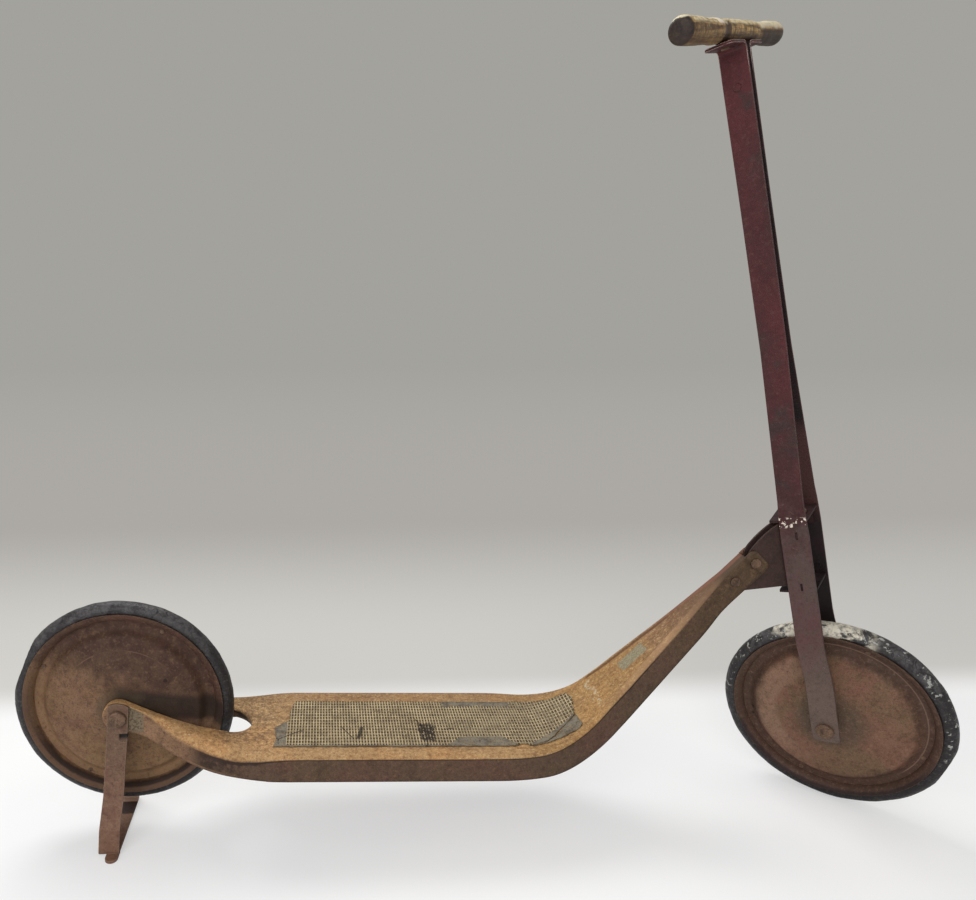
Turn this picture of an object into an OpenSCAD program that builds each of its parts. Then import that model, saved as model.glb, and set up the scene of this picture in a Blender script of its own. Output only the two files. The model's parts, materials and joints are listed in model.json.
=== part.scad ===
// Child's kick scooter with a pressed-steel platform, disc wheels and a parking stand.
// It stands on its stand and its front wheel, with the steering turned to the right-hand lock.
// X points forward, Y to the rider's left and Z up. The origin is on the floor, under the
// middle of the scooter's bounding box. Sizes are in millimetres, angles in degrees.

/* [Wheels] */
// Outer radius of the tyre
wheel_r = 127; // [115:1:140]
// Radius of the tyre's round section
tyre_r = 11; // [9:0.5:13]
// Gap between the tyre and the flange that seats it
tyre_gap = 0.3; // [0.1:0.1:0.6]
// How far round the front tyre's section the disc's flange reaches, in degrees
flange_wrap = 73; // [50:1:80]
// How far round the rear tyre's section its disc's flange reaches, in degrees
rear_flange_wrap = 80; // [50:1:84]
// Sheet thickness of a wheel disc
disc_t = 1.2; // [0.8:0.1:2]
// Width of the flat ring where the two discs meet
ring_w = 7; // [6:0.5:10]
// Width of the shoulder between that ring and the dish
shoulder_w = 14; // [8:1:22]
// Height of the dish at its shoulder
dish_h = 10; // [6:0.5:14]
// Height of the dish at the hub
crown_h = 20; // [15:0.5:24]
// Outer radius of the hub tube
hub_r = 9; // [8:0.5:13]
// Half the length of the hub tube
hub_half = 30; // [26:0.5:34]
// Number of rivets that hold the two discs together
disc_rivets = 4; // [3:1:8]
// Shank radius of a disc rivet
disc_rivet_r = 1.8; // [1.5:0.1:2.5]

/* [Axles and fasteners] */
// Radius of an axle bolt
axle_r = 5; // [4:0.5:6]
// Radial gap of a running fit
run_gap = 0.05; // [0.02:0.01:0.1]
// Side gap between pieces that turn against each other
side_gap = 0.3; // [0.2:0.05:0.6]
// Radius of an axle bolt's round head
head_r = 9.9; // [9:0.1:13]
// Thickness of an axle bolt's head
head_h = 4.5; // [3:0.5:7]
// Outer radius of a washer
washer_r = 10; // [8:0.5:12]
// Thickness of a washer
washer_t = 1.6; // [1:0.1:3]
// Nut size across its flats
nut_af = 16; // [14:0.5:19]
// Height of a nut
nut_h = 7; // [5:0.5:10]
// Length of thread that shows past a nut
thread_end = 2; // [1:0.5:6]
// Outer radius of an axle spacer
spacer_r = 8; // [7:0.5:11]

/* [Platform] */
// Depth of the platform's top below the rear axle
platform_drop = 27.4; // [22:0.2:34]
// Half the width of the platform
platform_half = 75; // [60:1:90]
// Sheet thickness of the platform pressing
sheet_t = 2.2; // [1.6:0.1:3]
// Height of the platform's side walls
wall_h = 31.2; // [24:0.2:38]
// Distance from the rear axle to where the platform starts to narrow
narrow_x = 430; // [400:5:445]
// Distance from the rear axle to the corner where the neck rises
neck_x = 519.5; // [505:0.5:530]
// Angle of the neck above the platform
neck_angle = 48.4; // [44:0.2:52]
// Radius of the bend between the platform and the neck
bend_r = 110; // [90:5:130]
// Length of the neck from the corner where it rises to its end
neck_len = 302.5744; // [295:0.0001:312]
// Height of the neck's side walls, square to the neck
neck_wall = 34.5; // [32:0.5:38]
// Height of the side walls at the neck's end, where the bracket is riveted
ear_wall = 30.5; // [28:0.5:32]
// Half the width of the neck where the platform ends
neck_half = 36; // [30:1:42]
// Length of the neck's end that has straight sides, where the bracket is riveted
ear_len = 43.5; // [40:0.5:50]
// Length, along the platform, over which the neck tapers to that straight end
taper_len = 106.0063; // [90:0.0001:115]
// Radius of the neck's two end corners
neck_corner = 6; // [3:0.5:9]

/* [Rear arms] */
// Distance from the middle to the outer face of an arm's eye
eye_half = 36; // [35:0.5:42]
// Radius of the eye round the rear axle
eye_r = 18; // [14:0.5:20]
// Distance from the rear axle to where an arm flares outward
flare_x = 42; // [36:1:50]
// Distance from the rear axle to where the arms reach the platform's full width
arm_end_x = 190; // [170:5:220]
// Half the width of the slot for the rear wheel
slot_half = 25; // [18:0.5:30]
// Gap between the rear tyre and the front end of that slot
slot_gap = 19; // [8:1:30]
// Depth of the turned-down lip round that slot
slot_lip = 9; // [5:0.5:14]

/* [Mat] */
// Distance from the rear axle to the back edge of the mat
mat_x = 176; // [165:1:200]
// Length of the mat along the flat of the platform and into the bend
mat_len = 364; // [250:1:380]
// Half the width of the mat
mat_half = 49; // [35:1:56]
// Radius of the mat's two front corners
mat_corner = 24; // [10:1:40]
// Thickness of the mat
mat_t = 2.4; // [1.5:0.1:4]

/* [Steering head] */
// Distance between the wheel axles, along the platform
wheelbase = 859; // [850:1:870]
// Depth of the front axle below the rear one, square to the platform
front_drop = 11; // [6:0.5:16]
// Backward slant of the steering axis from square to the platform
rake = 17.9; // [16:0.1:20]
// Distance of the front axle ahead of the steering axis
fork_offset = 7.1; // [3:0.1:10]
// Steering lock to either side, which is how far the fork stands turned
lock = 44; // [40:0.5:44]
// Radius of the steering pin
pin_r = 4.2; // [3.5:0.1:4.6]
// Size of the steering pin's nut across its flats
pin_nut_af = 13; // [11:0.5:15]
// Wall of the rolled barrel round the steering pin, and of the bracket's cheeks
bracket_t = 2.2; // [1.8:0.1:2.4]
// Gap along the axis between the front tyre and the lower crosspiece
crown_gap = 49.5; // [35:0.5:52]
// Length of the barrel round the steering pin
barrel_len = 84.6; // [80:0.2:88]
// How far the bracket's curved back stands above the neck
bracket_back = 17; // [14:0.5:22]
// Shank radius of a neck rivet
neck_rivet_r = 3; // [2.5:0.1:4]
// Head radius of a neck rivet
neck_rivet_head = 6; // [5:0.1:7]
// Distance of the outer neck rivet from the neck's end
rivet_inset = 10; // [9:0.5:13]
// Distance between the two neck rivets
rivet_pitch = 30.5; // [24:0.5:34]
// Depth of the neck rivets below the neck's top
rivet_depth = 14; // [12:0.5:18]

/* [Fork] */
// Height of the grip above the front axle, along the steering axis
column_h = 773; // [720:1:820]
// Thickness of a fork leg
leg_t = 2.5; // [2:0.1:3]
// Half the width of a leg above the crosspieces
leg_half = 13.2; // [11:0.1:14]
// Half the width of a leg at the crosspieces and the wheel
blade_half = 14.8; // [14:0.1:16]
// Outer half-width of the two legs where they run side by side
column_half = 7; // [6:0.1:9]
// Outer half-width of the fork at the crosspieces
crown_half = 27; // [27:0.2:30]
// Outer half-width of the fork at the front axle
dropout_half = 40; // [38:0.5:44]
// Length of a leg below the front axle
leg_foot = 16; // [14:0.5:24]
// Height above the front axle where a leg starts to lean inward
leg_bend_z = 22; // [18:1:26]
// Height above the front axle where a leg starts to sweep back to the steering axis
leg_sweep_z = 25; // [20:1:30]
// Length over which the legs spread below the column
spread_len = 185; // [150:5:220]
// Length above that over which they draw together
gather_len = 150; // [120:5:180]
// Thickness of a crosspiece
cross_t = 3; // [2:0.2:4]
// How far a crosspiece reaches behind the steering axis
cross_back = 25; // [18:0.5:28]
// How far a crosspiece reaches ahead of the steering axis
cross_front = 13; // [10:0.5:14]
// Length of a crosspiece's tab, along the leg
tab_len = 9; // [6:0.5:12]
// Thickness of a crosspiece's tab
tab_t = 2; // [1.5:0.1:3]
// Distance of the column rivet below the grip
column_rivet_drop = 50; // [35:1:120]
// Shank radius of the column rivet
column_rivet_r = 2.2; // [2:0.1:3]
// Outer radius of the sleeve round the column rivet
sleeve_r = 5; // [4:0.1:6]

/* [Grip] */
// Half the length of the grip
grip_half = 138; // [115:1:160]
// Radius of the grip's middle
grip_mid_r = 11; // [10:0.1:12]
// Radius of the grip's waist
grip_waist_r = 9.8; // [8:0.1:11]
// Radius of the grip's ends
grip_end_r = 11.8; // [10.5:0.1:15]
// Half the length of the grip's middle
grip_mid_half = 50; // [48:1:60]
// Distance from the middle of the grip to the outer end of a saddle wing
wing_reach = 48; // [36:1:50]
// Inner radius of the bend between a leg and its saddle wing
wing_bend = 5; // [3:0.5:7]
// Radius of a saddle wing's outer corners
wing_corner = 6; // [3:0.5:8]
// Distance from the middle of the grip to its screws
screw_y = 26; // [18:1:28]
// Shank radius of a grip screw
screw_r = 2; // [1.5:0.1:2.5]

/* [Parking stand] */
// Height of the rear tyre above the floor while the scooter is parked
rear_lift = 35.8; // [20:0.2:45]
// Backward lean of the stand
stand_lean = 6.5; // [3:0.5:8]
// Thickness of the stand's strap
strap_t = 3; // [2.5:0.1:4]
// Half the width of the stand's strap
strap_half = 11.4; // [10:0.2:14]
// Height of the strap's end above the axle
strap_top = 18; // [14:0.5:22]
// Height of the axle above the notch in the strap's front edge
notch_drop = 19.5; // [18:0.5:24]
// Height of that notch
notch_h = 8.5; // [4:0.5:10]
// Depth of that notch
notch_deep = 8.5; // [4:0.5:9]
// How far the stand's legs spread above their feet
stand_spread = 8; // [4:0.5:10]
// How far the right leg steps outward at its foot
foot_step = 15; // [8:0.5:18]
// Height over which it steps outward
foot_step_h = 34; // [24:1:40]
// Height at which it stands straight again
foot_step_z = 34; // [26:1:42]
// Outer radius of the strap's two bends
strap_bend = 6; // [5:0.5:12]
// Length of the foot tab outside the right leg
foot_tab = 13; // [8:1:20]
// Half the width of that foot tab
foot_tab_half = 7; // [5:0.5:8]
// Distance of the foot tab ahead of the strap's middle
foot_tab_x = 5; // [0:0.5:5]

/* [Hidden] */
$fn = 64;

rust = [0.46, 0.29, 0.17];
ochre = [0.62, 0.42, 0.22];
maroon = [0.33, 0.14, 0.16];
black = [0.14, 0.14, 0.15];
straw = [0.72, 0.60, 0.40];
steel = [0.48, 0.37, 0.28];

steer = -lock;
hole_r = axle_r + run_gap;
barrel_bore = pin_r + run_gap;
ring_r = wheel_r - tyre_r;              // radius of the tyre's centre line
seat_r = tyre_r + tyre_gap;             // radius of the flange round the tyre
join_r = ring_r - seat_r;               // where the two discs part under the tyre
join_in = join_r - ring_w;
dish_r = join_in - shoulder_w;
disc_rivet_ring = join_r - (ring_w + disc_t) / 2;

// Steering axis, from the point nearest the front axle, in the platform's frame
axis_x = wheelbase - fork_offset * cos(rake);
axis_z = -front_drop - fork_offset * sin(rake);
wheel_x = axis_x + fork_offset * cos(steer) * cos(rake);
wheel_z = axis_z + fork_offset * cos(steer) * sin(rake);

// Attitude: the stand lifts the rear axle, and the front tyre comes down to the floor
rear_h = wheel_r + rear_lift;
function axle_up(p) = sin(steer) * sin(p - rake);
function wheel_reach(c) = ring_r * sqrt(1 - c * c) + tyre_r;
function settle(p, n) = n == 0 ? p
    : settle(asin((rear_h + wheel_z * cos(p) - wheel_reach(axle_up(p))) / wheel_x), n - 1);
pitch = settle(0, 12);
front_x = wheel_x * cos(pitch) + wheel_z * sin(pitch);
front_reach = wheel_reach(sin(steer) * cos(pitch - rake));
rear_x = (wheel_r - front_x - front_reach) / 2;

// Heights along the steering axis
cross_low = wheel_r + crown_gap;              // underside of the lower crosspiece
barrel_low = cross_low + cross_t + side_gap;
barrel_top = barrel_low + barrel_len;
cross_top = barrel_top + side_gap;            // underside of the upper crosspiece
barrel_r = barrel_bore + bracket_t;
crown_low = wheel_r + 0.4 * leg_bend_z - 4;   // where the legs have drawn in above the wheel
crown_high = cross_top + cross_t + 8;         // where they start to draw together
cheek_inset = 0.15;                           // the cheeks lie within the barrel's wall
cheek_out = barrel_r - cheek_inset;
neck_tip = cheek_out + sheet_t;               // half the width of the neck's end

foot_x = -rear_h * tan(stand_lean);          // middle of the stand's foot
eye_in = eye_half - sheet_t;
strap_in = eye_half + side_gap;
strap_out = strap_in + strap_t;
seat_out = strap_out + side_gap;              // what the rear bolt's head bears on
slot_x = wheel_r + slot_gap;
far = 2 * wheelbase;                          // beyond any piece, for cuts

// Neck, and how far behind the steering axis it ends, which the bracket bridges
neck_back = (axis_x - neck_x) * cos(rake) + (axis_z + platform_drop) * sin(rake)
    - neck_len * cos(neck_angle - rake);
ear_x = neck_x + (neck_len - ear_len) * cos(neck_angle);
taper_x = ear_x - taper_len;
web_cut = 13;                                 // length of the neck's end that has no top web

function bezier(a, b, c, d, t) = a * pow(1 - t, 3) + 3 * b * t * pow(1 - t, 2)
    + 3 * c * t * t * (1 - t) + d * pow(t, 3);
function curve(a, b, c, d, n = 10) = [for (i = [0:n]) bezier(a, b, c, d, i / n)];
function arc(x, y, r, from, to, n = 12) =
    [for (i = [0:n]) let (w = from + (to - from) * i / n) [x + r * cos(w), y + r * sin(w)]];
function between(a, b, k) = a + (b - a) * k;
function flip(points) = [for (i = [len(points) - 1:-1:0]) points[i]];
function mirrored(points) = [for (p = flip(points)) [p[0], -p[1]]];

// Frames that the pieces are drawn in
module on_platform() translate([rear_x, 0, rear_h]) rotate([0, pitch, 0]) children();
module on_fork() on_platform() translate([axis_x, 0, axis_z]) rotate([0, -rake, 0])
    rotate([0, 0, steer]) children();
module on_front_axle() on_fork() translate([fork_offset, 0, 0]) children();
module on_stand() translate([rear_x, 0, rear_h]) children();
module leaning() rotate([0, stand_lean, 0]) children();

// A flat shape drawn in X and Z, given a thickness from y0 to y1
module upright(y0, y1) translate([0, y1, 0]) rotate([90, 0, 0]) linear_extrude(y1 - y0) children();
// A flat shape drawn in Y and Z, given a thickness from x0 to x1
module crosswise(x0, x1) translate([x0, 0, 0]) rotate([90, 0, 90]) linear_extrude(x1 - x0) children();
// A round bar along Y
module bar_y(r, y0, y1) translate([0, y0, 0]) rotate([-90, 0, 0]) cylinder(r = r, h = y1 - y0);
module tube_y(r, bore, y0, y1) difference() {
    bar_y(r, y0, y1);
    bar_y(bore, y0 - 1, y1 + 1);
}
module nut_y(y0, flats = nut_af, bore = axle_r) difference() {
    translate([0, y0, 0]) rotate([-90, 0, 0]) cylinder(d = flats / cos(30), h = nut_h, $fn = 6);
    bar_y(bore, y0 - 1, y0 + nut_h + 1);
}
// A head that faces +Y, with a rounded rim, whose flat side is at y = 0
module head_y(r, h) rotate([-90, 0, 0]) rotate_extrude() polygon(concat([[0, 0], [r, 0]],
    arc(r - h / 2, h / 2, h / 2, 0, 90, 6), [[0, h]]));
// Bolt along Y whose head lies outside y = -seat and whose thread ends at y = tail
module axle_bolt(seat, tail) {
    bar_y(axle_r, -seat - 0.5, tail);
    translate([0, -seat, 0]) mirror([0, 1, 0]) head_y(head_r, head_h);
}

// ---- Platform ----
// Upper outline of the pressing in X and Z, lowered by d, from the eye to the neck's end
function neck_point(along, deep) = [
    neck_x + along * cos(neck_angle) + deep * sin(neck_angle),
    -platform_drop + along * sin(neck_angle) - deep * cos(neck_angle)
];
eye_angle = 56;
function arm_top(d) = curve(eye_r * [cos(eye_angle), sin(eye_angle)] - [0, d],
    [flare_x, -d], [between(flare_x, arm_end_x, 0.36), -platform_drop - d],
    [between(flare_x, arm_end_x, 0.83), -platform_drop - d]);
function bend(r, x, z) = arc(x - r * tan(neck_angle / 2), z + r, r, -90, neck_angle - 90);
function deck_top(d) = concat(arm_top(d),
    bend(bend_r + d, neck_x + d * tan(neck_angle / 2), -platform_drop - d));
wall_z = -platform_drop - wall_h;
wall_bend = bend_r + 10;
wall_corner_x = neck_point(0, neck_wall)[0] - (neck_point(0, neck_wall)[1] - wall_z) / tan(neck_angle);
function deck_side() = concat(
    arc(0, 0, eye_r, 270, eye_angle, 14), deck_top(0),
    [neck_point(neck_len - neck_corner, 0)],
    [for (p = arc(0, 0, neck_corner, 90, 0, 6)) neck_point(neck_len - neck_corner + p[0],
        neck_corner - p[1])],
    [for (p = arc(0, 0, neck_corner, 0, -90, 6)) neck_point(neck_len - neck_corner + p[0],
        ear_wall - neck_corner - p[1])],
    curve(neck_point(neck_len - 58, ear_wall), neck_point(neck_len - 80, ear_wall),
        neck_point(neck_len - 92, neck_wall), neck_point(neck_len - 114, neck_wall), 6),
    flip(bend(wall_bend, wall_corner_x, wall_z)),
    [[between(flare_x, arm_end_x, 0.9), wall_z]],
    curve([between(flare_x, arm_end_x, 0.53), wall_z + 2], [flare_x + 6, wall_z + 7],
        [flare_x - 2, -eye_r], [2, -eye_r]));
// Everything under the sheet's top web
function deck_under() = concat(
    [[-far, -far], [-far, sheet_t]],
    arc(0, 0, eye_r - sheet_t, 172, eye_angle, 8), deck_top(sheet_t),
    [neck_point(neck_len - web_cut, sheet_t), neck_point(neck_len - web_cut, -1),
        neck_point(far, -1), neck_point(far, far)]);
// Half of the plan outline, drawn d inside the outer face
function deck_half(d) = concat(
    [[-2 * eye_r, eye_half - d]],
    curve([eye_r + 5, eye_half - d], [flare_x + 20, eye_half - d],
        [flare_x + 73, platform_half - d], [arm_end_x, platform_half - d]),
    curve([narrow_x, platform_half - d], [neck_x - 14, platform_half - d],
        [neck_x + 10, neck_half + 10 - d], [taper_x, neck_half - d]),
    [[ear_x, neck_tip - d], [far, neck_tip - d]]);
module deck_plan(d) polygon(concat(deck_half(d), mirrored(deck_half(d))));
module wheel_slot(d) {
    half = slot_half + d;
    end_x = slot_x - slot_half;
    translate([end_x, 0]) circle(r = half);
    translate([-far, -half]) square([end_x + far, 2 * half]);
}
module neck_rivet_places() for (k = [0, 1]) {
    p = neck_point(neck_len - rivet_inset - k * rivet_pitch, rivet_depth);
    translate([p[0], 0, p[1]]) children();
}
module deck() color(ochre) on_platform() difference() {
    union() {
        difference() {
            intersection() {
                translate([0, 0, -far]) linear_extrude(2 * far) deck_plan(0);
                upright(-far, far) polygon(deck_side());
            }
            intersection() {
                translate([0, 0, -far]) linear_extrude(2 * far) deck_plan(sheet_t);
                upright(-far, far) polygon(deck_under());
            }
        }
        // Lip that is turned down round the wheel's slot
        intersection() {
            translate([0, 0, -far]) linear_extrude(2 * far) difference() {
                wheel_slot(sheet_t);
                translate([-far, -far]) square([far + 1.5 * flare_x, 2 * far]);
            }
            upright(-far, far) polygon(concat(
                [for (p = deck_top(0)) if (p[0] < arm_end_x) p],
                flip([for (p = deck_top(slot_lip)) if (p[0] < arm_end_x) p])));
        }
    }
    translate([0, 0, -far]) linear_extrude(2 * far) wheel_slot(0);
    bar_y(hole_r, -far, far);
    neck_rivet_places() bar_y(neck_rivet_r, -far, far);
}
function mat_face(d) = concat([[mat_x, d - platform_drop]],
    bend(bend_r - d, neck_x - d * tan(neck_angle / 2), d - platform_drop), [neck_point(2 * mat_corner, -d)]);
module mat_plan() {
    front = mat_x + mat_len - mat_corner;
    side = mat_half - mat_corner;
    polygon(concat([[mat_x, -mat_half]], arc(front, -side, mat_corner, -90, 0),
        arc(front, side, mat_corner, 0, 90), [[mat_x, mat_half]]));
}
module deck_mat() color(black) on_platform() intersection() {
    upright(-mat_half, mat_half) polygon(concat(mat_face(mat_t), flip(mat_face(0))));
    translate([0, 0, -far]) linear_extrude(2 * far) mat_plan();
}

// ---- Steering head ----
function axis_point(s, back) = [
    axis_x - s * sin(rake) - back * cos(rake),
    axis_z + s * cos(rake) - back * sin(rake)
];
cheek_end = rivet_inset + rivet_pitch + 10;   // the cheeks' length inside the ears
cheek_gap = 4;                                // from the cheeks' edges to the ears' edges
function cheek() = concat(
    [axis_point(barrel_low, 0), neck_point(neck_len - ear_len, ear_wall - 0.5 * cheek_gap),
        neck_point(neck_len - cheek_end, ear_wall - cheek_gap),
        neck_point(neck_len - cheek_end, cheek_gap)],
    curve(neck_point(neck_len - rivet_inset, cheek_gap),
        neck_point(neck_len - 1.4 * rivet_inset, rivet_depth - bracket_back),
        axis_point(barrel_top - 1, 0.63 * neck_back), axis_point(barrel_top, 0.365 * neck_back), 8),
    [axis_point(barrel_top, 0)]);
module head_bracket() color(maroon) on_platform() difference() {
    union() {
        for (side = [-1, 1]) scale([1, side, 1])
            upright(barrel_bore + cheek_inset, cheek_out) polygon(cheek());
        translate([axis_x, 0, axis_z]) rotate([0, -rake, 0]) translate([0, 0, barrel_low])
            cylinder(r = barrel_r, h = barrel_len);
    }
    translate([axis_x, 0, axis_z]) rotate([0, -rake, 0]) cylinder(r = barrel_bore, h = 2 * barrel_top);
    neck_rivet_places() bar_y(neck_rivet_r, -far, far);
}
neck_rivet_h = 2.5;
module neck_rivets() color(steel) on_platform() neck_rivet_places() {
    bar_y(neck_rivet_r, -neck_tip, neck_tip);
    for (side = [-1, 1]) scale([1, side, 1]) translate([0, neck_tip, 0])
        head_y(neck_rivet_head, neck_rivet_h);
}

// ---- Rear axle ----
rear_tail = seat_out + washer_t + nut_h + thread_end;
module rear_axle_bolt() color(steel) on_platform() axle_bolt(seat_out, rear_tail);
module rear_axle_washer() color(steel) on_platform()
    tube_y(washer_r, axle_r, seat_out, seat_out + washer_t);
module rear_axle_nut() color(steel) on_platform() nut_y(seat_out + washer_t);
module rear_axle_spacers() color(steel) on_platform() for (side = [-1, 1]) scale([1, side, 1])
    tube_y(spacer_r, axle_r, hub_half + side_gap, eye_in);

// ---- Fork ----
wing_low = column_h - grip_mid_r - side_gap - leg_t;      // underside of a saddle wing
// Outer face of a leg in Y and Z, and the same face moved inward by the leg's thickness
function leg_face(d) = [
    [dropout_half - d, -leg_foot], [dropout_half - d, leg_bend_z],
    [crown_half - d, crown_low], [crown_half - d, crown_high],
    [1.35 * column_half - d, crown_high + spread_len],
    [column_half - d, crown_high + spread_len + gather_len]
];
function wing_face(d) = concat(arc(column_half + wing_bend, wing_low - wing_bend, wing_bend + d, 180, 90, 6),
    [[wing_reach, wing_low + d]]);
// Outline of a leg in X and Z
leg_corner = 6;
sweep_top = wheel_r + leg_corner;
sweep_mid = between(leg_sweep_z, sweep_top, 0.57);
shoulder_low = cross_top - blade_half;
shoulder_high = cross_top + 2 * leg_half;
function leg_outline() = concat(
    arc(fork_offset - blade_half + leg_corner, leg_corner - leg_foot, leg_corner, 180, 270, 5),
    arc(fork_offset + blade_half - leg_corner, leg_corner - leg_foot, leg_corner, 270, 360, 5),
    curve([fork_offset + blade_half, leg_sweep_z], [fork_offset + blade_half, sweep_mid],
        [blade_half, sweep_mid], [blade_half, sweep_top], 8),
    [[blade_half, shoulder_low], [leg_half, shoulder_high], [leg_half, column_h],
        [-leg_half, column_h], [-leg_half, shoulder_high], [-blade_half, shoulder_low]],
    curve([-blade_half, sweep_top], [-blade_half, sweep_mid],
        [fork_offset - blade_half, sweep_mid], [fork_offset - blade_half, leg_sweep_z], 8));
tab_proud = 0.4;
upper_tab = [2, cross_top - 15];
lower_tab = [0, cross_low + cross_t + 5.5];
module tab_hole(p) translate([p[0] - tab_t / 2, 0, p[1] - tab_len / 2])
    cube([tab_t, far, tab_len]);
module wing_corners() for (end = [-1, 1]) scale([end, 1, 1])
    translate([leg_half - wing_corner, wing_reach - wing_corner, wing_low - 1]) difference() {
        cube([wing_corner + 1, wing_corner + 1, leg_t + 2]);
        cylinder(r = wing_corner, h = leg_t + 2);
    }
module leg(side) color(maroon) on_fork() scale([1, side, 1]) difference() {
    intersection() {
        crosswise(-far, far) polygon(concat(leg_face(0), wing_face(0), flip(wing_face(leg_t)),
            flip(leg_face(leg_t))));
        upright(-1, wing_reach + 1) polygon(leg_outline());
    }
    wing_corners();
    translate([fork_offset, 0, 0]) bar_y(axle_r, 0, far);
    translate([0, 0, column_h - column_rivet_drop]) bar_y(column_rivet_r, 0, far);
    translate([0, screw_y, wing_low - 1]) cylinder(r = screw_r, h = leg_t + 2);
    tab_hole(upper_tab);
    tab_hole(lower_tab);
}
module fork_leg_right() leg(-1);
module fork_leg_left() leg(1);

crown_in = crown_half - leg_t;
ear_t = 2.5;
ear_half = 8;
// Crosspiece whose plate starts at height z, with an ear on each side from z0 to z1
module crosspiece(z, z0, z1, tab) color(maroon) on_fork() difference() {
    union() {
        translate([-cross_back, -crown_in, z]) cube([cross_back + cross_front, 2 * crown_in, cross_t]);
        for (side = [-1, 1]) scale([1, side, 1]) {
            translate([-ear_half, crown_in - ear_t, z0]) cube([2 * ear_half, ear_t, z1 - z0]);
            translate([tab[0] - tab_t / 2, crown_in, tab[1] - tab_len / 2])
                cube([tab_t, leg_t + tab_proud, tab_len]);
        }
    }
    cylinder(r = pin_r, h = 2 * barrel_top);
}
module upper_crosspiece() crosspiece(cross_top, upper_tab[1] - tab_len / 2 - 1, cross_top, upper_tab);
module lower_crosspiece() crosspiece(cross_low, cross_low, lower_tab[1] + tab_len / 2 + 1, lower_tab);
pin_head_r = 8;
pin_head_h = 4;
pin_low = cross_low - washer_t - nut_h - thread_end;
module steering_pin() color(steel) on_fork() {
    translate([0, 0, pin_low]) cylinder(r = pin_r, h = cross_top + cross_t - pin_low);
    translate([0, 0, cross_top + cross_t]) rotate([90, 0, 0]) head_y(pin_head_r, pin_head_h);
}
module steering_pin_washer() color(steel) on_fork() translate([0, 0, cross_low - washer_t])
    difference() {
        cylinder(r = washer_r, h = washer_t);
        translate([0, 0, -1]) cylinder(r = pin_r, h = washer_t + 2);
    }
module steering_pin_nut() color(steel) on_fork() translate([0, 0, cross_low - washer_t - nut_h])
    rotate([90, 0, 0]) nut_y(0, pin_nut_af, pin_r);
column_in = column_half - leg_t;
module column_rivet() color(steel) on_fork() translate([0, 0, column_h - column_rivet_drop]) {
    bar_y(column_rivet_r, -column_half, column_half);
    for (side = [-1, 1]) scale([1, side, 1]) translate([0, column_half, 0]) head_y(3.6, 1.4);
}
module column_sleeve() color(steel) on_fork() translate([0, 0, column_h - column_rivet_drop])
    tube_y(sleeve_r, column_rivet_r, -column_in, column_in);

// ---- Grip ----
function grip_profile() = concat([[0, 0], [grip_mid_r, 0], [grip_mid_r, grip_mid_half]],
    [[grip_waist_r, grip_mid_half + 4]],
    curve([grip_waist_r, grip_mid_half + 10], [grip_waist_r, grip_mid_half + 40],
        [grip_end_r, grip_half - 38], [grip_end_r, grip_half - 12], 8),
    arc(grip_end_r - 4, grip_half - 4, 4, 0, 90, 5), [[0, grip_half]]);
screw_len = 12;
module grip_screw_places() for (side = [-1, 1]) translate([0, side * screw_y, column_h]) children();
module grip() color(straw) on_fork() difference() {
    translate([0, 0, column_h]) for (side = [-1, 1]) scale([1, side, 1])
        rotate([-90, 0, 0]) rotate_extrude() polygon(grip_profile());
    grip_screw_places() translate([0, 0, -grip_mid_r - 1]) cylinder(r = screw_r, h = screw_len);
}
module grip_screws() color(steel) on_fork() grip_screw_places() translate([0, 0, wing_low - column_h]) {
    cylinder(r = screw_r, h = leg_t + side_gap + screw_len - 1);
    rotate([-90, 0, 0]) head_y(4, 2);
}

// ---- Front axle ----
front_tail = dropout_half + washer_t + nut_h + thread_end;
module front_axle_bolt() color(steel) on_front_axle() axle_bolt(dropout_half, front_tail);
module front_axle_washer() color(steel) on_front_axle()
    tube_y(washer_r, axle_r, dropout_half, dropout_half + washer_t);
module front_axle_nut() color(steel) on_front_axle() nut_y(dropout_half + washer_t);
module front_axle_spacers() color(steel) on_front_axle() for (side = [-1, 1]) scale([1, side, 1])
    tube_y(spacer_r, axle_r, hub_half + side_gap, dropout_half - leg_t);

// ---- Wheels ----
// Section of a disc in radius and height, d above the face that meets the other disc
function disc_face(d) = concat(
    [[hub_r, crown_h + d]],
    curve([hub_r + 12, crown_h + d], [0.5 * dish_r, crown_h - 1 + d],
        [dish_r - 14, dish_h + 2 + d], [dish_r, dish_h + d], 8),
    curve([dish_r + d / 2, dish_h + d], [dish_r + 0.4 * shoulder_w, dish_h - 1 + d],
        [join_in - 0.5 * shoulder_w, d], [join_in, d], 8));
function flange_face(r, wrap) = arc(ring_r, 0, r, 180, 180 - wrap, 8);
module disc_section(wrap) polygon(concat(
    disc_face(0), flange_face(seat_r, wrap),
    flip([for (p = flange_face(seat_r + disc_t, wrap)) if (p[1] > disc_t) p]),
    [[ring_r - sqrt(pow(seat_r + disc_t, 2) - disc_t * disc_t), disc_t]],
    flip(disc_face(disc_t))));
module disc_rivet_places() for (i = [0:disc_rivets - 1])
    rotate([0, 27 + 360 * i / disc_rivets, 0]) translate([disc_rivet_ring, 0, 0]) children();
module disc(side, wrap) color(rust) scale([1, side, 1]) difference() {
    rotate([-90, 0, 0]) rotate_extrude() disc_section(wrap);
    disc_rivet_places() bar_y(disc_rivet_r, -1, 5);
}
module wheel_hub() color(steel) tube_y(hub_r, hole_r, -hub_half, hub_half);
module wheel_rivets() color(steel) disc_rivet_places() {
    bar_y(disc_rivet_r, -disc_t, disc_t);
    for (side = [-1, 1]) scale([1, side, 1]) translate([0, disc_t, 0])
        head_y(disc_rivet_r + 0.8, 0.8);
}
module tyre() color(black) rotate([90, 0, 0]) rotate_extrude() translate([ring_r, 0]) circle(r = tyre_r);
module front_disc_right() on_front_axle() disc(-1, flange_wrap);
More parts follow.
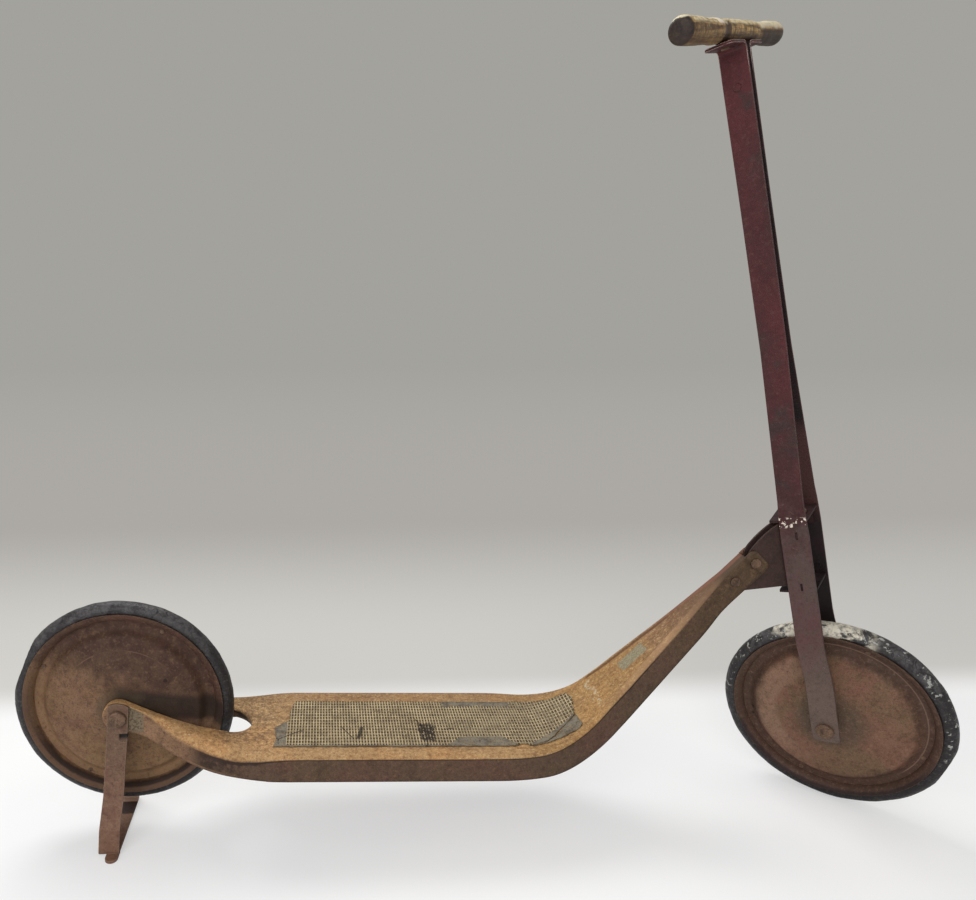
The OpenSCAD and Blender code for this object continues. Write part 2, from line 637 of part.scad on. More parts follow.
module front_disc_left() on_front_axle() disc(1, flange_wrap);
module front_hub() on_front_axle() wheel_hub();
module front_disc_rivets() on_front_axle() wheel_rivets();
module front_tyre() on_front_axle() tyre();
module rear_disc_right() on_platform() disc(-1, rear_flange_wrap);
module rear_disc_left() on_platform() disc(1, rear_flange_wrap);
module rear_hub() on_platform() wheel_hub();
module rear_disc_rivets() on_platform() wheel_rivets();
module rear_tyre() on_platform() tyre();

// ---- Parking stand ----
// One half of the strap in Y and Z, d inside the outer face, whose foot steps outward
foot_out = strap_out + stand_spread;
function strap_side(step, d) = concat(
    [[strap_out - d, strap_top + 5], [strap_out - d, -eye_r],
        [foot_out - d, foot_step_z + foot_step_h - rear_h],
        [foot_out + step - d, foot_step_z - rear_h]],
    arc(foot_out + step - strap_bend, strap_bend - rear_h, strap_bend - d, 0, -90, 6));
function strap_path(d) = concat(strap_side(0, d),
    [for (p = flip(strap_side(foot_step, d))) [-p[0], p[1]]]);
strap_arch = 22;
notch_low = -notch_drop - notch_h;
module strap_band() leaning() upright(-far, far) intersection() {
    translate([-strap_half, -far]) square([2 * strap_half, far + strap_top]);
    union() {
        translate([0, strap_top - strap_arch]) circle(r = strap_arch);
        translate([-strap_arch, -far]) square([2 * strap_arch, far]);
    }
}
module stand() color(maroon) on_stand() difference() {
    union() {
        difference() {
            intersection() {
                crosswise(-far, far) polygon(concat(strap_path(0), flip(strap_path(strap_t))));
                strap_band();
            }
            // Notch that the tongue is cut from
            leaning() translate([strap_half - notch_deep, -strap_out - 2, notch_low])
                cube([strap_half, strap_t + 4, notch_h]);
        }
        // Tongue that is bent in from the notch's lower end, as a stop under the arm
        leaning() crosswise(strap_half - notch_deep, strap_half) polygon([
            [-strap_out, notch_low - strap_t], [-strap_in, notch_low - strap_t],
            [strap_t - strap_in, -notch_drop - side_gap], [-strap_in, -notch_drop - side_gap],
            [-strap_out, notch_low]]);
        // Foot tab that the rider's shoe presses
        translate([foot_x + foot_tab_x, foot_tab_half - foot_tab - foot_out - foot_step, -rear_h]) {
            translate([-foot_tab_half, 0, 0])
                cube([2 * foot_tab_half, foot_tab - foot_tab_half + strap_bend, strap_t]);
            cylinder(r = foot_tab_half, h = strap_t);
        }
    }
    bar_y(hole_r, -far, far);
}

deck();
deck_mat();
head_bracket();
neck_rivets();
rear_axle_bolt();
rear_axle_nut();
rear_axle_washer();
rear_axle_spacers();
fork_leg_right();
fork_leg_left();
upper_crosspiece();
lower_crosspiece();
steering_pin();
steering_pin_nut();
steering_pin_washer();
column_rivet();
column_sleeve();
grip();
grip_screws();
front_axle_bolt();
front_axle_nut();
front_axle_washer();
front_axle_spacers();
front_disc_right();
front_disc_left();
front_hub();
front_disc_rivets();
front_tyre();
rear_disc_right();
rear_disc_left();
rear_hub();
rear_disc_rivets();
rear_tyre();
stand();
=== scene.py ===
import bpy
import bmesh
import json
import math
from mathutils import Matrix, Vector, noise
from mathutils.geometry import delaunay_2d_cdt


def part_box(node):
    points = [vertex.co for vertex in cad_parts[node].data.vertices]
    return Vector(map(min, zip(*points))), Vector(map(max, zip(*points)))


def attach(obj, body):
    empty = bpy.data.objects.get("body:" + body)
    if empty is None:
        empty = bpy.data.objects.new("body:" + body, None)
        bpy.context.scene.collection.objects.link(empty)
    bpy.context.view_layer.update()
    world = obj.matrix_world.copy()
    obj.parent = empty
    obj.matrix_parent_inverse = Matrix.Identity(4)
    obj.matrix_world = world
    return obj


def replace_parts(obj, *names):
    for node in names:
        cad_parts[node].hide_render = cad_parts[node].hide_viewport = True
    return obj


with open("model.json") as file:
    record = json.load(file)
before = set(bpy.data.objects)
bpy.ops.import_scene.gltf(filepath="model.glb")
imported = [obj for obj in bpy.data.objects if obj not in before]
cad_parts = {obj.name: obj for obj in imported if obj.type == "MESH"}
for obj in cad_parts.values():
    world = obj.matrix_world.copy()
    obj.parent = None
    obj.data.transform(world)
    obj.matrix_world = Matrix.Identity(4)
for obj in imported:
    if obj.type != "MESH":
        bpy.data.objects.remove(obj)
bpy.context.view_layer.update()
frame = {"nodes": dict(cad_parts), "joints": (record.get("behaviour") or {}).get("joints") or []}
NODES = frame["nodes"]
JOINTS = {j["name"]: j for j in frame["joints"]}

REAR_AXLE = Vector(JOINTS["rear_wheel_spin"]["pos_m"])
FRONT_AXLE = Vector(JOINTS["front_wheel_spin"]["pos_m"])
FRONT_DIR = Vector(JOINTS["front_wheel_spin"]["axis"]).normalized()
STEER_POS = Vector(JOINTS["steering"]["pos_m"])
REAR_DIR = Vector((0, 1, 0))
# Axes of the platform's frame: forward and up, tilted with the parked platform
PITCH = math.radians(1.76343)
PLAT_X = Vector((math.cos(PITCH), 0, -math.sin(PITCH)))
PLAT_Z = Vector((math.sin(PITCH), 0, math.cos(PITCH)))
# Axes of the turned fork: along the wheel, across it, and up the column
FORK_Y = FRONT_DIR
FORK_Z = Vector(JOINTS["steering"]["axis"]).normalized()
FORK_X = FORK_Y.cross(FORK_Z).normalized()
# Middle of the grip
GRIP = sum(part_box("grip"), Vector()) / 2


# ---- colours
def tone(r, g, b):
    """A colour given as it looks, 0 to 255, for a shader."""
    def lin(c):
        c /= 255
        return c / 12.92 if c <= 0.04045 else ((c + 0.055) / 1.055) ** 2.4
    return (lin(r), lin(g), lin(b), 1)


class Net:
    """A node material put together from short calls."""

    def __init__(self, name):
        self.mat = bpy.data.materials.new(name)
        self.mat.use_nodes = True
        self.tree = self.mat.node_tree
        self.shader = self.tree.nodes["Principled BSDF"]
        self.place = self.add("ShaderNodeTexCoord").outputs["Object"]

    def add(self, kind, inputs=None, **settings):
        """A new node, with its settings, then its inputs by name or number."""
        made = self.tree.nodes.new(kind)
        for key, value in settings.items():
            setattr(made, key, value)
        return self.fill(made, inputs or {})

    def fill(self, node, inputs):
        """Link or set a node's inputs, leaving those that are None."""
        for key, value in inputs.items():
            if isinstance(value, bpy.types.NodeSocket):
                self.tree.links.new(value, node.inputs[key])
            elif value is not None:
                node.inputs[key].default_value = value
        return node

    def sum(self, kind, a, b=None, c=None):
        return self.add("ShaderNodeMath", {0: a, 1: b, 2: c}, operation=kind).outputs[0]

    def vec(self, kind, a, b=None):
        made = self.add("ShaderNodeVectorMath", {0: a, 1: b}, operation=kind)
        return made.outputs["Value" if kind in ("DOT_PRODUCT", "LENGTH") else "Vector"]

    def noise(self, scale, detail, rough, warp=0.0, where=None, stretch=None):
        where = where or self.place
        made = self.add("ShaderNodeTexNoise", {
            "Vector": self.vec("MULTIPLY", where, stretch) if stretch else where,
            "Scale": scale, "Detail": detail, "Roughness": rough, "Distortion": warp})
        return made.outputs["Fac"]

    def cells(self, scale, feature="F1"):
        inputs = {"Vector": self.place, "Scale": scale}
        return self.add("ShaderNodeTexVoronoi", inputs, feature=feature).outputs["Distance"]

    def ramp(self, fac, start, end):
        """A number that goes evenly from start to end, each given as (position, number)."""
        made = self.add("ShaderNodeValToRGB", {"Fac": fac})
        for element, (at, value) in zip(made.color_ramp.elements, (start, end)):
            element.position = at
            element.color = (value, value, value, 1)
        return made.outputs["Color"]

    def step(self, fac, low, high):
        """0 below low and 1 above high, or the other way round where low is the larger."""
        start, end = (0, 1) if low < high else (1, 0)
        inputs = {"Value": fac, "From Min": min(low, high), "From Max": max(low, high),
                  "To Min": start, "To Max": end}
        made = self.add("ShaderNodeMapRange", inputs, interpolation_type="SMOOTHSTEP")
        return made.outputs["Result"]

    def mix(self, fac, a, b):
        """From one colour to another, each a socket or given as it looks, 0 to 255."""
        a, b = (tone(*colour) if isinstance(colour, tuple) else colour for colour in (a, b))
        return self.add("ShaderNodeMix", {"Factor": fac, 6: a, 7: b}, data_type="RGBA").outputs[2]

    def along(self, direction, origin=(0, 0, 0)):
        """How far the surface point lies along a direction from an origin, in metres."""
        away = self.vec("SUBTRACT", self.place, tuple(origin))
        return self.vec("DOT_PRODUCT", away, tuple(direction))

    def joined(self, x, y, z):
        return self.add("ShaderNodeCombineXYZ", {0: x, 1: y, 2: z}).outputs[0]

    def facing(self, direction):
        """How much the surface faces a direction, 1 to -1, in the piece's own frame."""
        normal = self.add("ShaderNodeTexCoord").outputs["Normal"]
        return self.vec("DOT_PRODUCT", normal, tuple(direction))

    def both(self, *masks):
        """The product of masks and numbers, high only where all of them are."""
        out = masks[0]
        for mask in masks[1:]:
            out = self.sum("MULTIPLY", out, mask)
        return out

    def over(self, colour, tint, *masks):
        """A tint laid over a colour where all the masks are high."""
        return self.mix(self.both(*masks), colour, tint)

    def between(self, value, low, high, soft):
        """1 from low to high, falling to 0 within a soft distance outside."""
        return self.both(self.step(value, low - soft, low), self.step(value, high + soft, high))

    def moved(self, value, noise, reach):
        """A value pushed to and fro by a noise."""
        return self.sum("MULTIPLY_ADD", self.sum("SUBTRACT", noise, 0.5), reach, value)

    def soft_edges(self, radius):
        """The surface's normal, with its edges rounded off."""
        return self.add("ShaderNodeBevel", {"Radius": radius}, samples=4).outputs[0]

    def edge(self, radius):
        """1 on sharp outer edges, 0 on open faces."""
        soft = self.soft_edges(radius)
        plain = self.add("ShaderNodeNewGeometry").outputs["Normal"]
        return self.step(self.vec("DOT_PRODUCT", soft, plain), 0.985, 0.86)

    def bump(self, height, strength, distance, below=None):
        """A normal roughened by a height, on top of another normal if one is given."""
        inputs = {"Strength": strength, "Distance": distance, "Height": height, "Normal": below}
        return self.add("ShaderNodeBump", inputs).outputs[0]

    def done(self, colour, rough, normal, metal=None, gloss=0.3):
        """The finished material."""
        self.fill(self.shader, {"Base Color": colour, "Roughness": rough, "Normal": normal,
                                "Metallic": metal, "Specular IOR Level": gloss})
        return self.mat


class Worn(Net):
    """The material of an old surface, with the noises it is mottled with, coarse to grit."""

    def __init__(self, name):
        super().__init__(name)
        self.big = self.noise(14, 5, 0.62, 0.4)
        self.mid = self.noise(60, 6, 0.65, 0.2)
        self.small = self.noise(190, 5, 0.62)
        self.fine = self.noise(450, 4, 0.6)
        self.grit = self.noise(1300, 2, 0.5)

    def mottled(self, colour, dark, light, amount=1.0):
        """Blotches, spots and grit over a colour."""
        colour = self.over(colour, dark, self.step(self.mid, 0.46, 0.72), 0.38 * amount)
        colour = self.over(colour, dark, self.step(self.small, 0.5, 0.7), 0.5 * amount)
        colour = self.over(colour, light, self.step(self.small, 0.46, 0.32), 0.36 * amount)
        colour = self.over(colour, light, self.step(self.fine, 0.56, 0.70), 0.4 * amount)
        colour = self.over(colour, dark, self.step(self.fine, 0.46, 0.34), 0.5 * amount)
        return self.over(colour, dark, self.step(self.grit, 0.5, 0.64), 0.5 * amount)

    def pitted(self, strength=1.0, round_off=0.0012):
        """The normal of rusted and scratched sheet, with softened edges."""
        rough = self.sum("MULTIPLY_ADD", self.grit, 0.4, self.fine)
        wavy = self.bump(self.mid, 0.25 * strength, 0.002, self.soft_edges(round_off))
        dented = self.bump(self.small, 0.35 * strength, 0.001, wavy)
        return self.bump(rough, 0.5 * strength, 0.0005, dented)

    def dull(self, least, most):
        """A roughness that wanders between two values."""
        return self.ramp(self.mid, (0.3, least), (0.7, most))


# ---- materials
def deck_material():
    """Ochre paint, trodden bare on top and brown down the walls, darkened there partly as painted
    shade.
    """
    n = Worn("deck_paint")
    x, y, z = n.along(PLAT_X, REAR_AXLE), n.along((0, 1, 0)), n.along(PLAT_Z, REAR_AXLE)
    streaks = n.noise(30, 5, 0.62, 0.2, stretch=(0.35, 1.6, 1))
    up = n.facing(PLAT_Z * 0.94 - PLAT_X * 0.35)
    neck = n.step(x, 0.54, 0.60)
    upper = n.step(n.moved(x, n.big, 0.05), 0.60, 0.66)
    # How far a point lies inside the neck's edge, which tapers forward
    edge_in = n.sum("SUBTRACT", n.sum("MULTIPLY_ADD", x, -0.2594, 0.1879), n.sum("ABSOLUTE", y))
    far_side, near_side = n.step(y, -0.001, 0.001), n.step(y, 0.001, -0.001)

    top = n.mix(n.step(n.big, 0.4, 0.62), (180, 144, 100), (192, 146, 96))
    top = n.over(top, (162, 126, 90), neck)
    top = n.over(top, (128, 96, 72), upper)
    top = n.over(top, (168, 128, 70), n.between(n.moved(x, n.big, 0.04), 0.48, 0.60, 0.02), 0.55)
    top = n.over(top, (124, 92, 62), n.step(streaks, 0.5, 0.66), 0.6)
    specks = n.noise(240, 6, 0.78)
    rear = n.both(n.between(n.moved(x, n.mid, 0.05), 0.115, 0.16, 0.03), n.step(specks, 0.46, 0.56),
                  n.step(y, -0.058, -0.045))
    top = n.over(top, (98, 82, 64), rear, 0.6)
    top = n.over(top, (136, 106, 76), n.step(y, 0.044, 0.05), 0.45)
    top = n.over(top, (132, 84, 58), n.step(n.moved(y, n.small, 0.004), 0.0685, 0.0715), 0.6)
    top = n.over(top, (116, 80, 52), n.step(specks, 0.53, 0.61), 0.55)
    top = n.over(top, (222, 186, 134), n.step(specks, 0.46, 0.38), 0.5)
    top = n.mottled(top, (104, 74, 50), (204, 168, 118), 0.9)
    top = n.over(top, (214, 192, 156), n.step(n.noise(330, 3, 0.6), 0.63, 0.72), 0.6)
    # Raised border of the neck: pale and pinkish on the near side, a shadow line on the far one
    top = n.over(top, (178, 142, 106), neck, near_side,
                 n.between(edge_in, -0.02, 0.007, 0.002), 0.5)
    top = n.over(top, (104, 79, 60), n.step(n.moved(x, n.mid, 0.02), 0.622, 0.68), 0.8)
    top = n.over(top, (74, 59, 45), n.step(x, 0.676, 0.695), 0.85)
    ditch = n.between(n.moved(edge_in, n.mid, 0.003), 0.0088, 0.0104, 0.0012)
    top = n.over(top, (84, 56, 38), ditch, far_side, n.between(x, 0.562, 0.634, 0.012), 0.75)
    top = n.over(top, (134, 88, 72), upper, far_side, n.step(edge_in, 0.012, 0.007), 0.6)
    # Grey-green bare patch and a row of pale flecks across the neck
    patch = n.both(n.between(n.moved(x, n.small, 0.008), 0.586, 0.610, 0.0012),
                   n.between(n.moved(y, n.small, 0.006), -0.007, 0.012, 0.0012))
    bare = n.mix(n.step(n.fine, 0.4, 0.6), (150, 146, 122), (128, 118, 94))
    top = n.over(top, bare, patch, 0.9)
    row = n.both(n.between(n.moved(x, n.mid, 0.010), 0.553, 0.557, 0.002),
                 n.step(n.small, 0.5, 0.6), n.between(y, -0.03, 0.026, 0.003))
    top = n.over(top, (204, 190, 160), row, 0.7)

    side = n.mix(n.step(n.big, 0.38, 0.6), (90, 70, 55), (97, 70, 57))
    side = n.over(side, (88, 72, 52), n.step(n.noise(22, 4, 0.6, 0.4), 0.54, 0.66), 0.6)
    side = n.over(side, (148, 114, 86), n.step(n.moved(x, n.mid, 0.03), 0.15, 0.04), 0.9)
    side = n.over(side, (84, 68, 48), n.step(x, 0.64, 0.69), 0.7)
    side = n.over(side, (58, 41, 34), n.step(specks, 0.54, 0.64), 0.5)
    side = n.mottled(side, (60, 43, 35), (128, 98, 72), 0.95)
    # Greenish grime beside the stand
    grime = n.both(n.between(n.moved(x, n.small, 0.008), 0.010, 0.026, 0.003),
                   n.between(z, -0.016, 0.02, 0.006))
    green = n.mix(n.step(n.fine, 0.42, 0.58), (72, 66, 54), (112, 104, 84))
    side = n.over(side, green, grime, 0.75)

    # The walls' darker brown is partly their paint and partly painted shade on faces turned from
    # the light
    turn = n.moved(n.moved(up, n.mid, 0.2), n.small, 0.14)
    colour = n.mix(n.step(turn, 0.16, 0.44), side, top)
    rim = n.both(n.between(n.moved(up, n.small, 0.1), 0.12, 0.22, 0.06),
                 n.between(x, 0.10, 0.60, 0.03))
    colour = n.over(colour, (40, 28, 24), rim, 0.85)
    return n.done(colour, n.dull(0.55, 0.8), n.pitted(1.0, 0.002), gloss=0.25)


def fork_material():
    """Maroon paint, bright red where it is whole and brown where it is worn through."""
    n = Worn("fork_paint")
    up = n.along(FORK_Z, STEER_POS)
    across = n.along(FORK_Y, STEER_POS)
    long = n.noise(9, 5, 0.62, 0.3, stretch=(1, 1, 0.35))
    red = n.mix(n.step(long, 0.38, 0.62), (64, 32, 33), (84, 33, 37))
    red = n.over(red, (56, 44, 41), n.step(n.noise(26, 4, 0.6, 0.6), 0.5, 0.66), 0.8)
    low = n.mix(n.step(long, 0.4, 0.6), (88, 72, 67), (92, 60, 60))
    low = n.over(low, (98, 84, 74), n.step(n.mid, 0.5, 0.68), 0.6)
    low = n.over(low, (104, 88, 79), n.step(n.moved(up, n.big, 0.1), 0.14, 0.02), 0.9)
    colour = n.mix(n.step(n.moved(up, n.mid, 0.16), 0.30, 0.20), red, low)
    colour = n.mottled(colour, (42, 26, 27), (108, 80, 76), 0.55)
    scuffs = n.both(n.step(n.noise(70, 4, 0.7, 1.5), 0.64, 0.70), n.step(n.big, 0.48, 0.58))
    colour = n.over(colour, (128, 104, 100), scuffs, 0.45)
    # The legs' inner faces take painted shade, near black low down, with a painted lit stretch
    # above the crown
    inner = n.step(n.both(n.facing(FORK_Y), n.both(across, 1000.0)), -1.0, -2.5)
    painted_shading = n.mix(n.step(n.mid, 0.4, 0.6), (34, 22, 23), (20, 15, 17))
    painted_shading = n.over(painted_shading, (9, 8, 10), n.step(up, 0.24, 0.14), 0.85)
    painted_shading = n.over(painted_shading, (76, 48, 45), n.between(n.moved(up, n.mid, 0.02), 0.272, 0.35, 0.03), 0.75)
    colour = n.over(colour, painted_shading, inner, 0.92)
    near = n.step(across, 0.0, -0.002)
    # Painted highlight along the near leg's edges above the crown; by the grip the pale edges are
    # partly worn paint and partly painted highlight
    rim = n.both(n.edge(0.0011), n.step(n.mid, 0.34, 0.5))
    colour = n.over(colour, (128, 104, 96), rim, near, n.step(up, 0.25, 0.29), 0.7)
    by_grip = n.step(n.along(FORK_Z, GRIP), -0.045, -0.025)
    colour = n.over(colour, (226, 200, 188), rim, by_grip, 0.95)
    colour = n.over(colour, (30, 20, 20), rim, n.step(up, 0.255, 0.24), 0.55)
    # Chips of white paint at the crown
    crown = n.between(up, 0.2615, 0.2705, 0.003)
    chips = n.both(n.step(n.noise(180, 3, 0.6, 0.5), 0.585, 0.60), crown)
    colour = n.over(colour, (226, 214, 200), chips, near)
    return n.done(colour, n.dull(0.45, 0.7), n.pitted(0.9, 0.0011), gloss=0.3)


def crosspiece_material():
    """The fork's paint between the legs, darkened as painted shade, less so higher up."""
    n = Worn("crosspiece_paint")
    up = n.along(FORK_Z, STEER_POS)
    colour = n.mix(n.step(n.mid, 0.4, 0.62), (40, 27, 27), (28, 20, 21))
    colour = n.over(colour, (60, 38, 38), n.step(up, 0.22, 0.25), 0.8)
    colour = n.mottled(colour, (20, 14, 15), (78, 54, 52), 0.5)
    colour = n.over(colour, (24, 16, 16), n.edge(0.0011), 0.5)
    return n.done(colour, n.dull(0.5, 0.75), n.pitted(0.9, 0.0011), gloss=0.2)


def wheel_axes(axle):
    """A wheel's axle, and the directions ahead and over, square to it."""
    axle = axle.normalized()
    ahead = axle.cross(Vector((0, 0, 1))).normalized()
    return axle, ahead, ahead.cross(axle).normalized()


def wheel_frame(n, centre, axle):
    """Forward and upward distance from a wheel's centre, and the radius."""
    _, ahead, over = wheel_axes(axle)
    u, w = n.along(ahead, centre), n.along(over, centre)
    return u, w, n.vec("LENGTH", n.joined(u, w, 0.0))


def disc_done(n, colour):
    """A disc's material, with its edges rubbed pale."""
    colour = n.over(colour, (150, 122, 98), n.edge(0.0008), n.step(n.mid, 0.4, 0.5), 0.5)
    return n.done(colour, n.dull(0.5, 0.78), n.pitted(1.0, 0.001), gloss=0.22)


def rear_disc_material():
    """Ochre paint gone to rust, darker toward the top and front, greasy with a painted shadow above
    the hub.
    """
    n = Worn("rear_disc_paint")
    u, w, radius = wheel_frame(n, REAR_AXLE, REAR_DIR)
    shade = n.sum("ADD", n.both(u, 0.35), n.both(w, 0.94))
    dark = n.step(n.moved(n.moved(shade, n.big, 0.09), n.mid, 0.03), 0.0, 0.055)
    light = n.mix(n.step(n.big, 0.4, 0.6), (126, 96, 74), (122, 94, 66))
    light = n.over(light, (136, 106, 76), n.step(shade, -0.03, -0.07), 0.7)
    colour = n.mix(dark, light, n.mix(n.step(n.mid, 0.4, 0.62), (80, 58, 45), (70, 48, 41)))
    colour = n.over(colour, (100, 66, 56), n.step(n.noise(26, 5, 0.6, 0.8), 0.54, 0.66), 0.45)
    colour = n.mottled(colour, (56, 40, 32), (134, 104, 76), 0.8)
    # Grease and a painted shadow above the hub and along the arm
    line = n.sum("ABSOLUTE", n.sum("SUBTRACT", n.sum("MULTIPLY_ADD", u, 0.22, w), 0.013))
    grease_and_shadow = n.both(n.step(n.moved(n.moved(line, n.mid, 0.016), n.small, 0.008), 0.022, 0.010),
                   n.step(u, -0.016, 0.006))
    colour = n.over(colour, (34, 25, 22), grease_and_shadow, 0.85)
    colour = n.over(colour, (78, 66, 52), n.step(n.moved(radius, n.mid, 0.02), 0.034, 0.022), 0.55)
    # Thin pale ring on the upper part, a painted light band inside the flange on the lower part,
    # and the red-brown flange with painted shade at its root
    colour = n.over(colour, (132, 102, 80), n.between(radius, 0.0709, 0.0713, 0.0005),
                    n.step(w, 0.035, 0.06), n.step(n.mid, 0.42, 0.54), 0.45)
    under = n.step(n.sum("MULTIPLY_ADD", u, 0.5, w), 0.02, -0.05)
    colour = n.over(colour, (136, 106, 80), n.between(radius, 0.093, 0.103, 0.003), under,
                    n.step(n.fine, 0.66, 0.44), 0.55)
    colour = n.over(colour, (86, 63, 51), n.step(radius, 0.106, 0.109), under, 0.8)
    root = n.between(n.moved(radius, n.mid, 0.003), 0.1052, 0.1074, 0.002)
    colour = n.over(colour, (34, 24, 22), root, under, n.step(w, 0.0, -0.07))
    colour = n.over(colour, (70, 52, 42), root, under, 0.4)
    pores = n.both(n.step(n.noise(260, 5, 0.75), 0.56, 0.64), n.step(n.mid, 0.36, 0.56))
    colour = n.over(colour, (58, 40, 32), pores, 0.6)
    dots = n.both(n.step(n.cells(30), 0.10, 0.05), n.step(n.big, 0.46, 0.56))
    colour = n.over(colour, (34, 24, 20), dots, 0.8)
    return disc_done(n, colour)


def front_disc_material():
    """The same paint, terracotta on the dish and dark in the gutter round it."""
    n = Worn("front_disc_paint")
    u, w, radius = wheel_frame(n, FRONT_AXLE, FRONT_DIR)
    colour = n.mix(n.step(n.big, 0.38, 0.6), (124, 90, 72), (112, 88, 66))
    colour = n.over(colour, (128, 86, 72), n.step(n.noise(30, 5, 0.62, 1.0), 0.52, 0.66), 0.6)
    ragged = n.moved(n.moved(radius, n.big, 0.03), n.mid, 0.012)
    lit = n.both(n.between(n.moved(radius, n.mid, 0.012), 0.064, 0.080, 0.008),
                 n.step(u, -0.01, -0.06))
    colour = n.over(colour, (150, 118, 98), lit, 0.6)
    colour = n.over(colour, (72, 54, 46), n.step(ragged, 0.080, 0.094), 0.85)
    colour = n.over(colour, (78, 68, 56), n.step(ragged, 0.050, 0.026), 0.7)
    colour = n.mottled(colour, (64, 46, 38), (146, 114, 94), 0.75)
    pores = n.both(n.step(n.noise(260, 5, 0.75), 0.56, 0.64), n.step(n.mid, 0.38, 0.58))
    colour = n.over(colour, (62, 44, 36), pores, 0.55)
    dots = n.both(n.step(n.cells(34), 0.11, 0.05), n.step(radius, 0.055, 0.075),
                  n.step(n.big, 0.44, 0.52))
    colour = n.over(colour, (32, 22, 20), dots, 0.85)
    # Painted highlight on the flange's edge, on the upper front side
    colour = n.over(colour, (140, 112, 94), n.between(radius, 0.0975, 0.0982, 0.0006),
                    n.step(n.sum("ADD", u, w), 0.0, 0.04), 0.45)
    # Painted shade in the gutter by the tyre, on the lower part
    gutter_shade = n.both(n.step(n.moved(radius, n.mid, 0.003), 0.1068, 0.1098),
                  n.step(n.moved(w, n.big, 0.04), -0.02, -0.06))
    colour = n.over(colour, (40, 29, 30), gutter_shade, 0.8)
    return disc_done(n, colour)


def tyre_material(name, centre, axle, cream):
    """Perished black rubber: grey bloom, partly a painted light on the top of the tread, fine
    cracks and, on the front, remains of cream paint.
    """
    n = Worn(name)
    u, w, radius = wheel_frame(n, centre, axle)
    around = n.noise(40, 5, 0.65, 0.5)
    colour = n.mix(n.step(n.big, 0.4, 0.62), (25, 21, 23), (38, 34, 35))
    # Grey on the upper tread: rubber bloom and painted light
    bloom_and_top_light = n.both(n.step(n.moved(radius, around, 0.014), 0.112, 0.121),
                   n.step(n.moved(w, n.big, 0.06), -0.03, 0.06))
    sideways = n.sum("ABSOLUTE", n.moved(u, n.big, 0.05))
    colour = n.over(colour, (84, 82, 83), bloom_and_top_light, n.step(n.mid, 0.40, 0.56),
                    n.step(sideways, 0.112, 0.086), 0.85)
    colour = n.over(colour, (48, 41, 37), n.step(n.mid, 0.5, 0.7), 0.5)
    colour = n.over(colour, (24, 16, 18), n.step(n.moved(w, n.mid, 0.03), -0.03, -0.07), 0.6)
    colour = n.mottled(colour, (16, 14, 16), (112, 108, 104), 0.6)
    cracks = n.both(n.step(n.cells(130, "DISTANCE_TO_EDGE"), 0.035, 0.012),
                    n.step(n.big, 0.42, 0.56))
    colour = n.over(colour, (14, 13, 14), cracks, 0.75)
    if cream:
        high = n.both(n.step(n.moved(w, n.big, 0.05), 0.090, 0.102),
                      n.step(n.moved(u, n.big, 0.04), 0.044, 0.028))
        patch = n.both(n.step(n.noise(42, 5, 0.66, 0.5), 0.41, 0.50), high,
                       n.step(radius, 0.108, 0.112))
        paint = n.mix(n.step(n.small, 0.42, 0.66), (230, 222, 204), (146, 140, 128))
        colour = n.over(colour, paint, patch, 0.9)
        flecks = n.both(n.step(n.noise(150, 4, 0.7), 0.58, 0.64), n.step(radius, 0.114, 0.119),
                        n.step(w, -0.05, 0.0))
        colour = n.over(colour, (176, 176, 170), flecks, 0.8)
    height = n.sum("MULTIPLY_ADD", cracks, -0.9, n.fine)
    normal = n.bump(height, 0.5, 0.0006, n.bump(n.small, 0.45, 0.0014, n.bump(n.mid, 0.5, 0.004)))
    return n.done(colour, n.dull(0.32, 0.6), normal, gloss=0.4)


# Distance from rib to rib of the mat along the platform, and across it, in metres
RIB_PITCH, ROW_PITCH = 0.0034, 0.0065


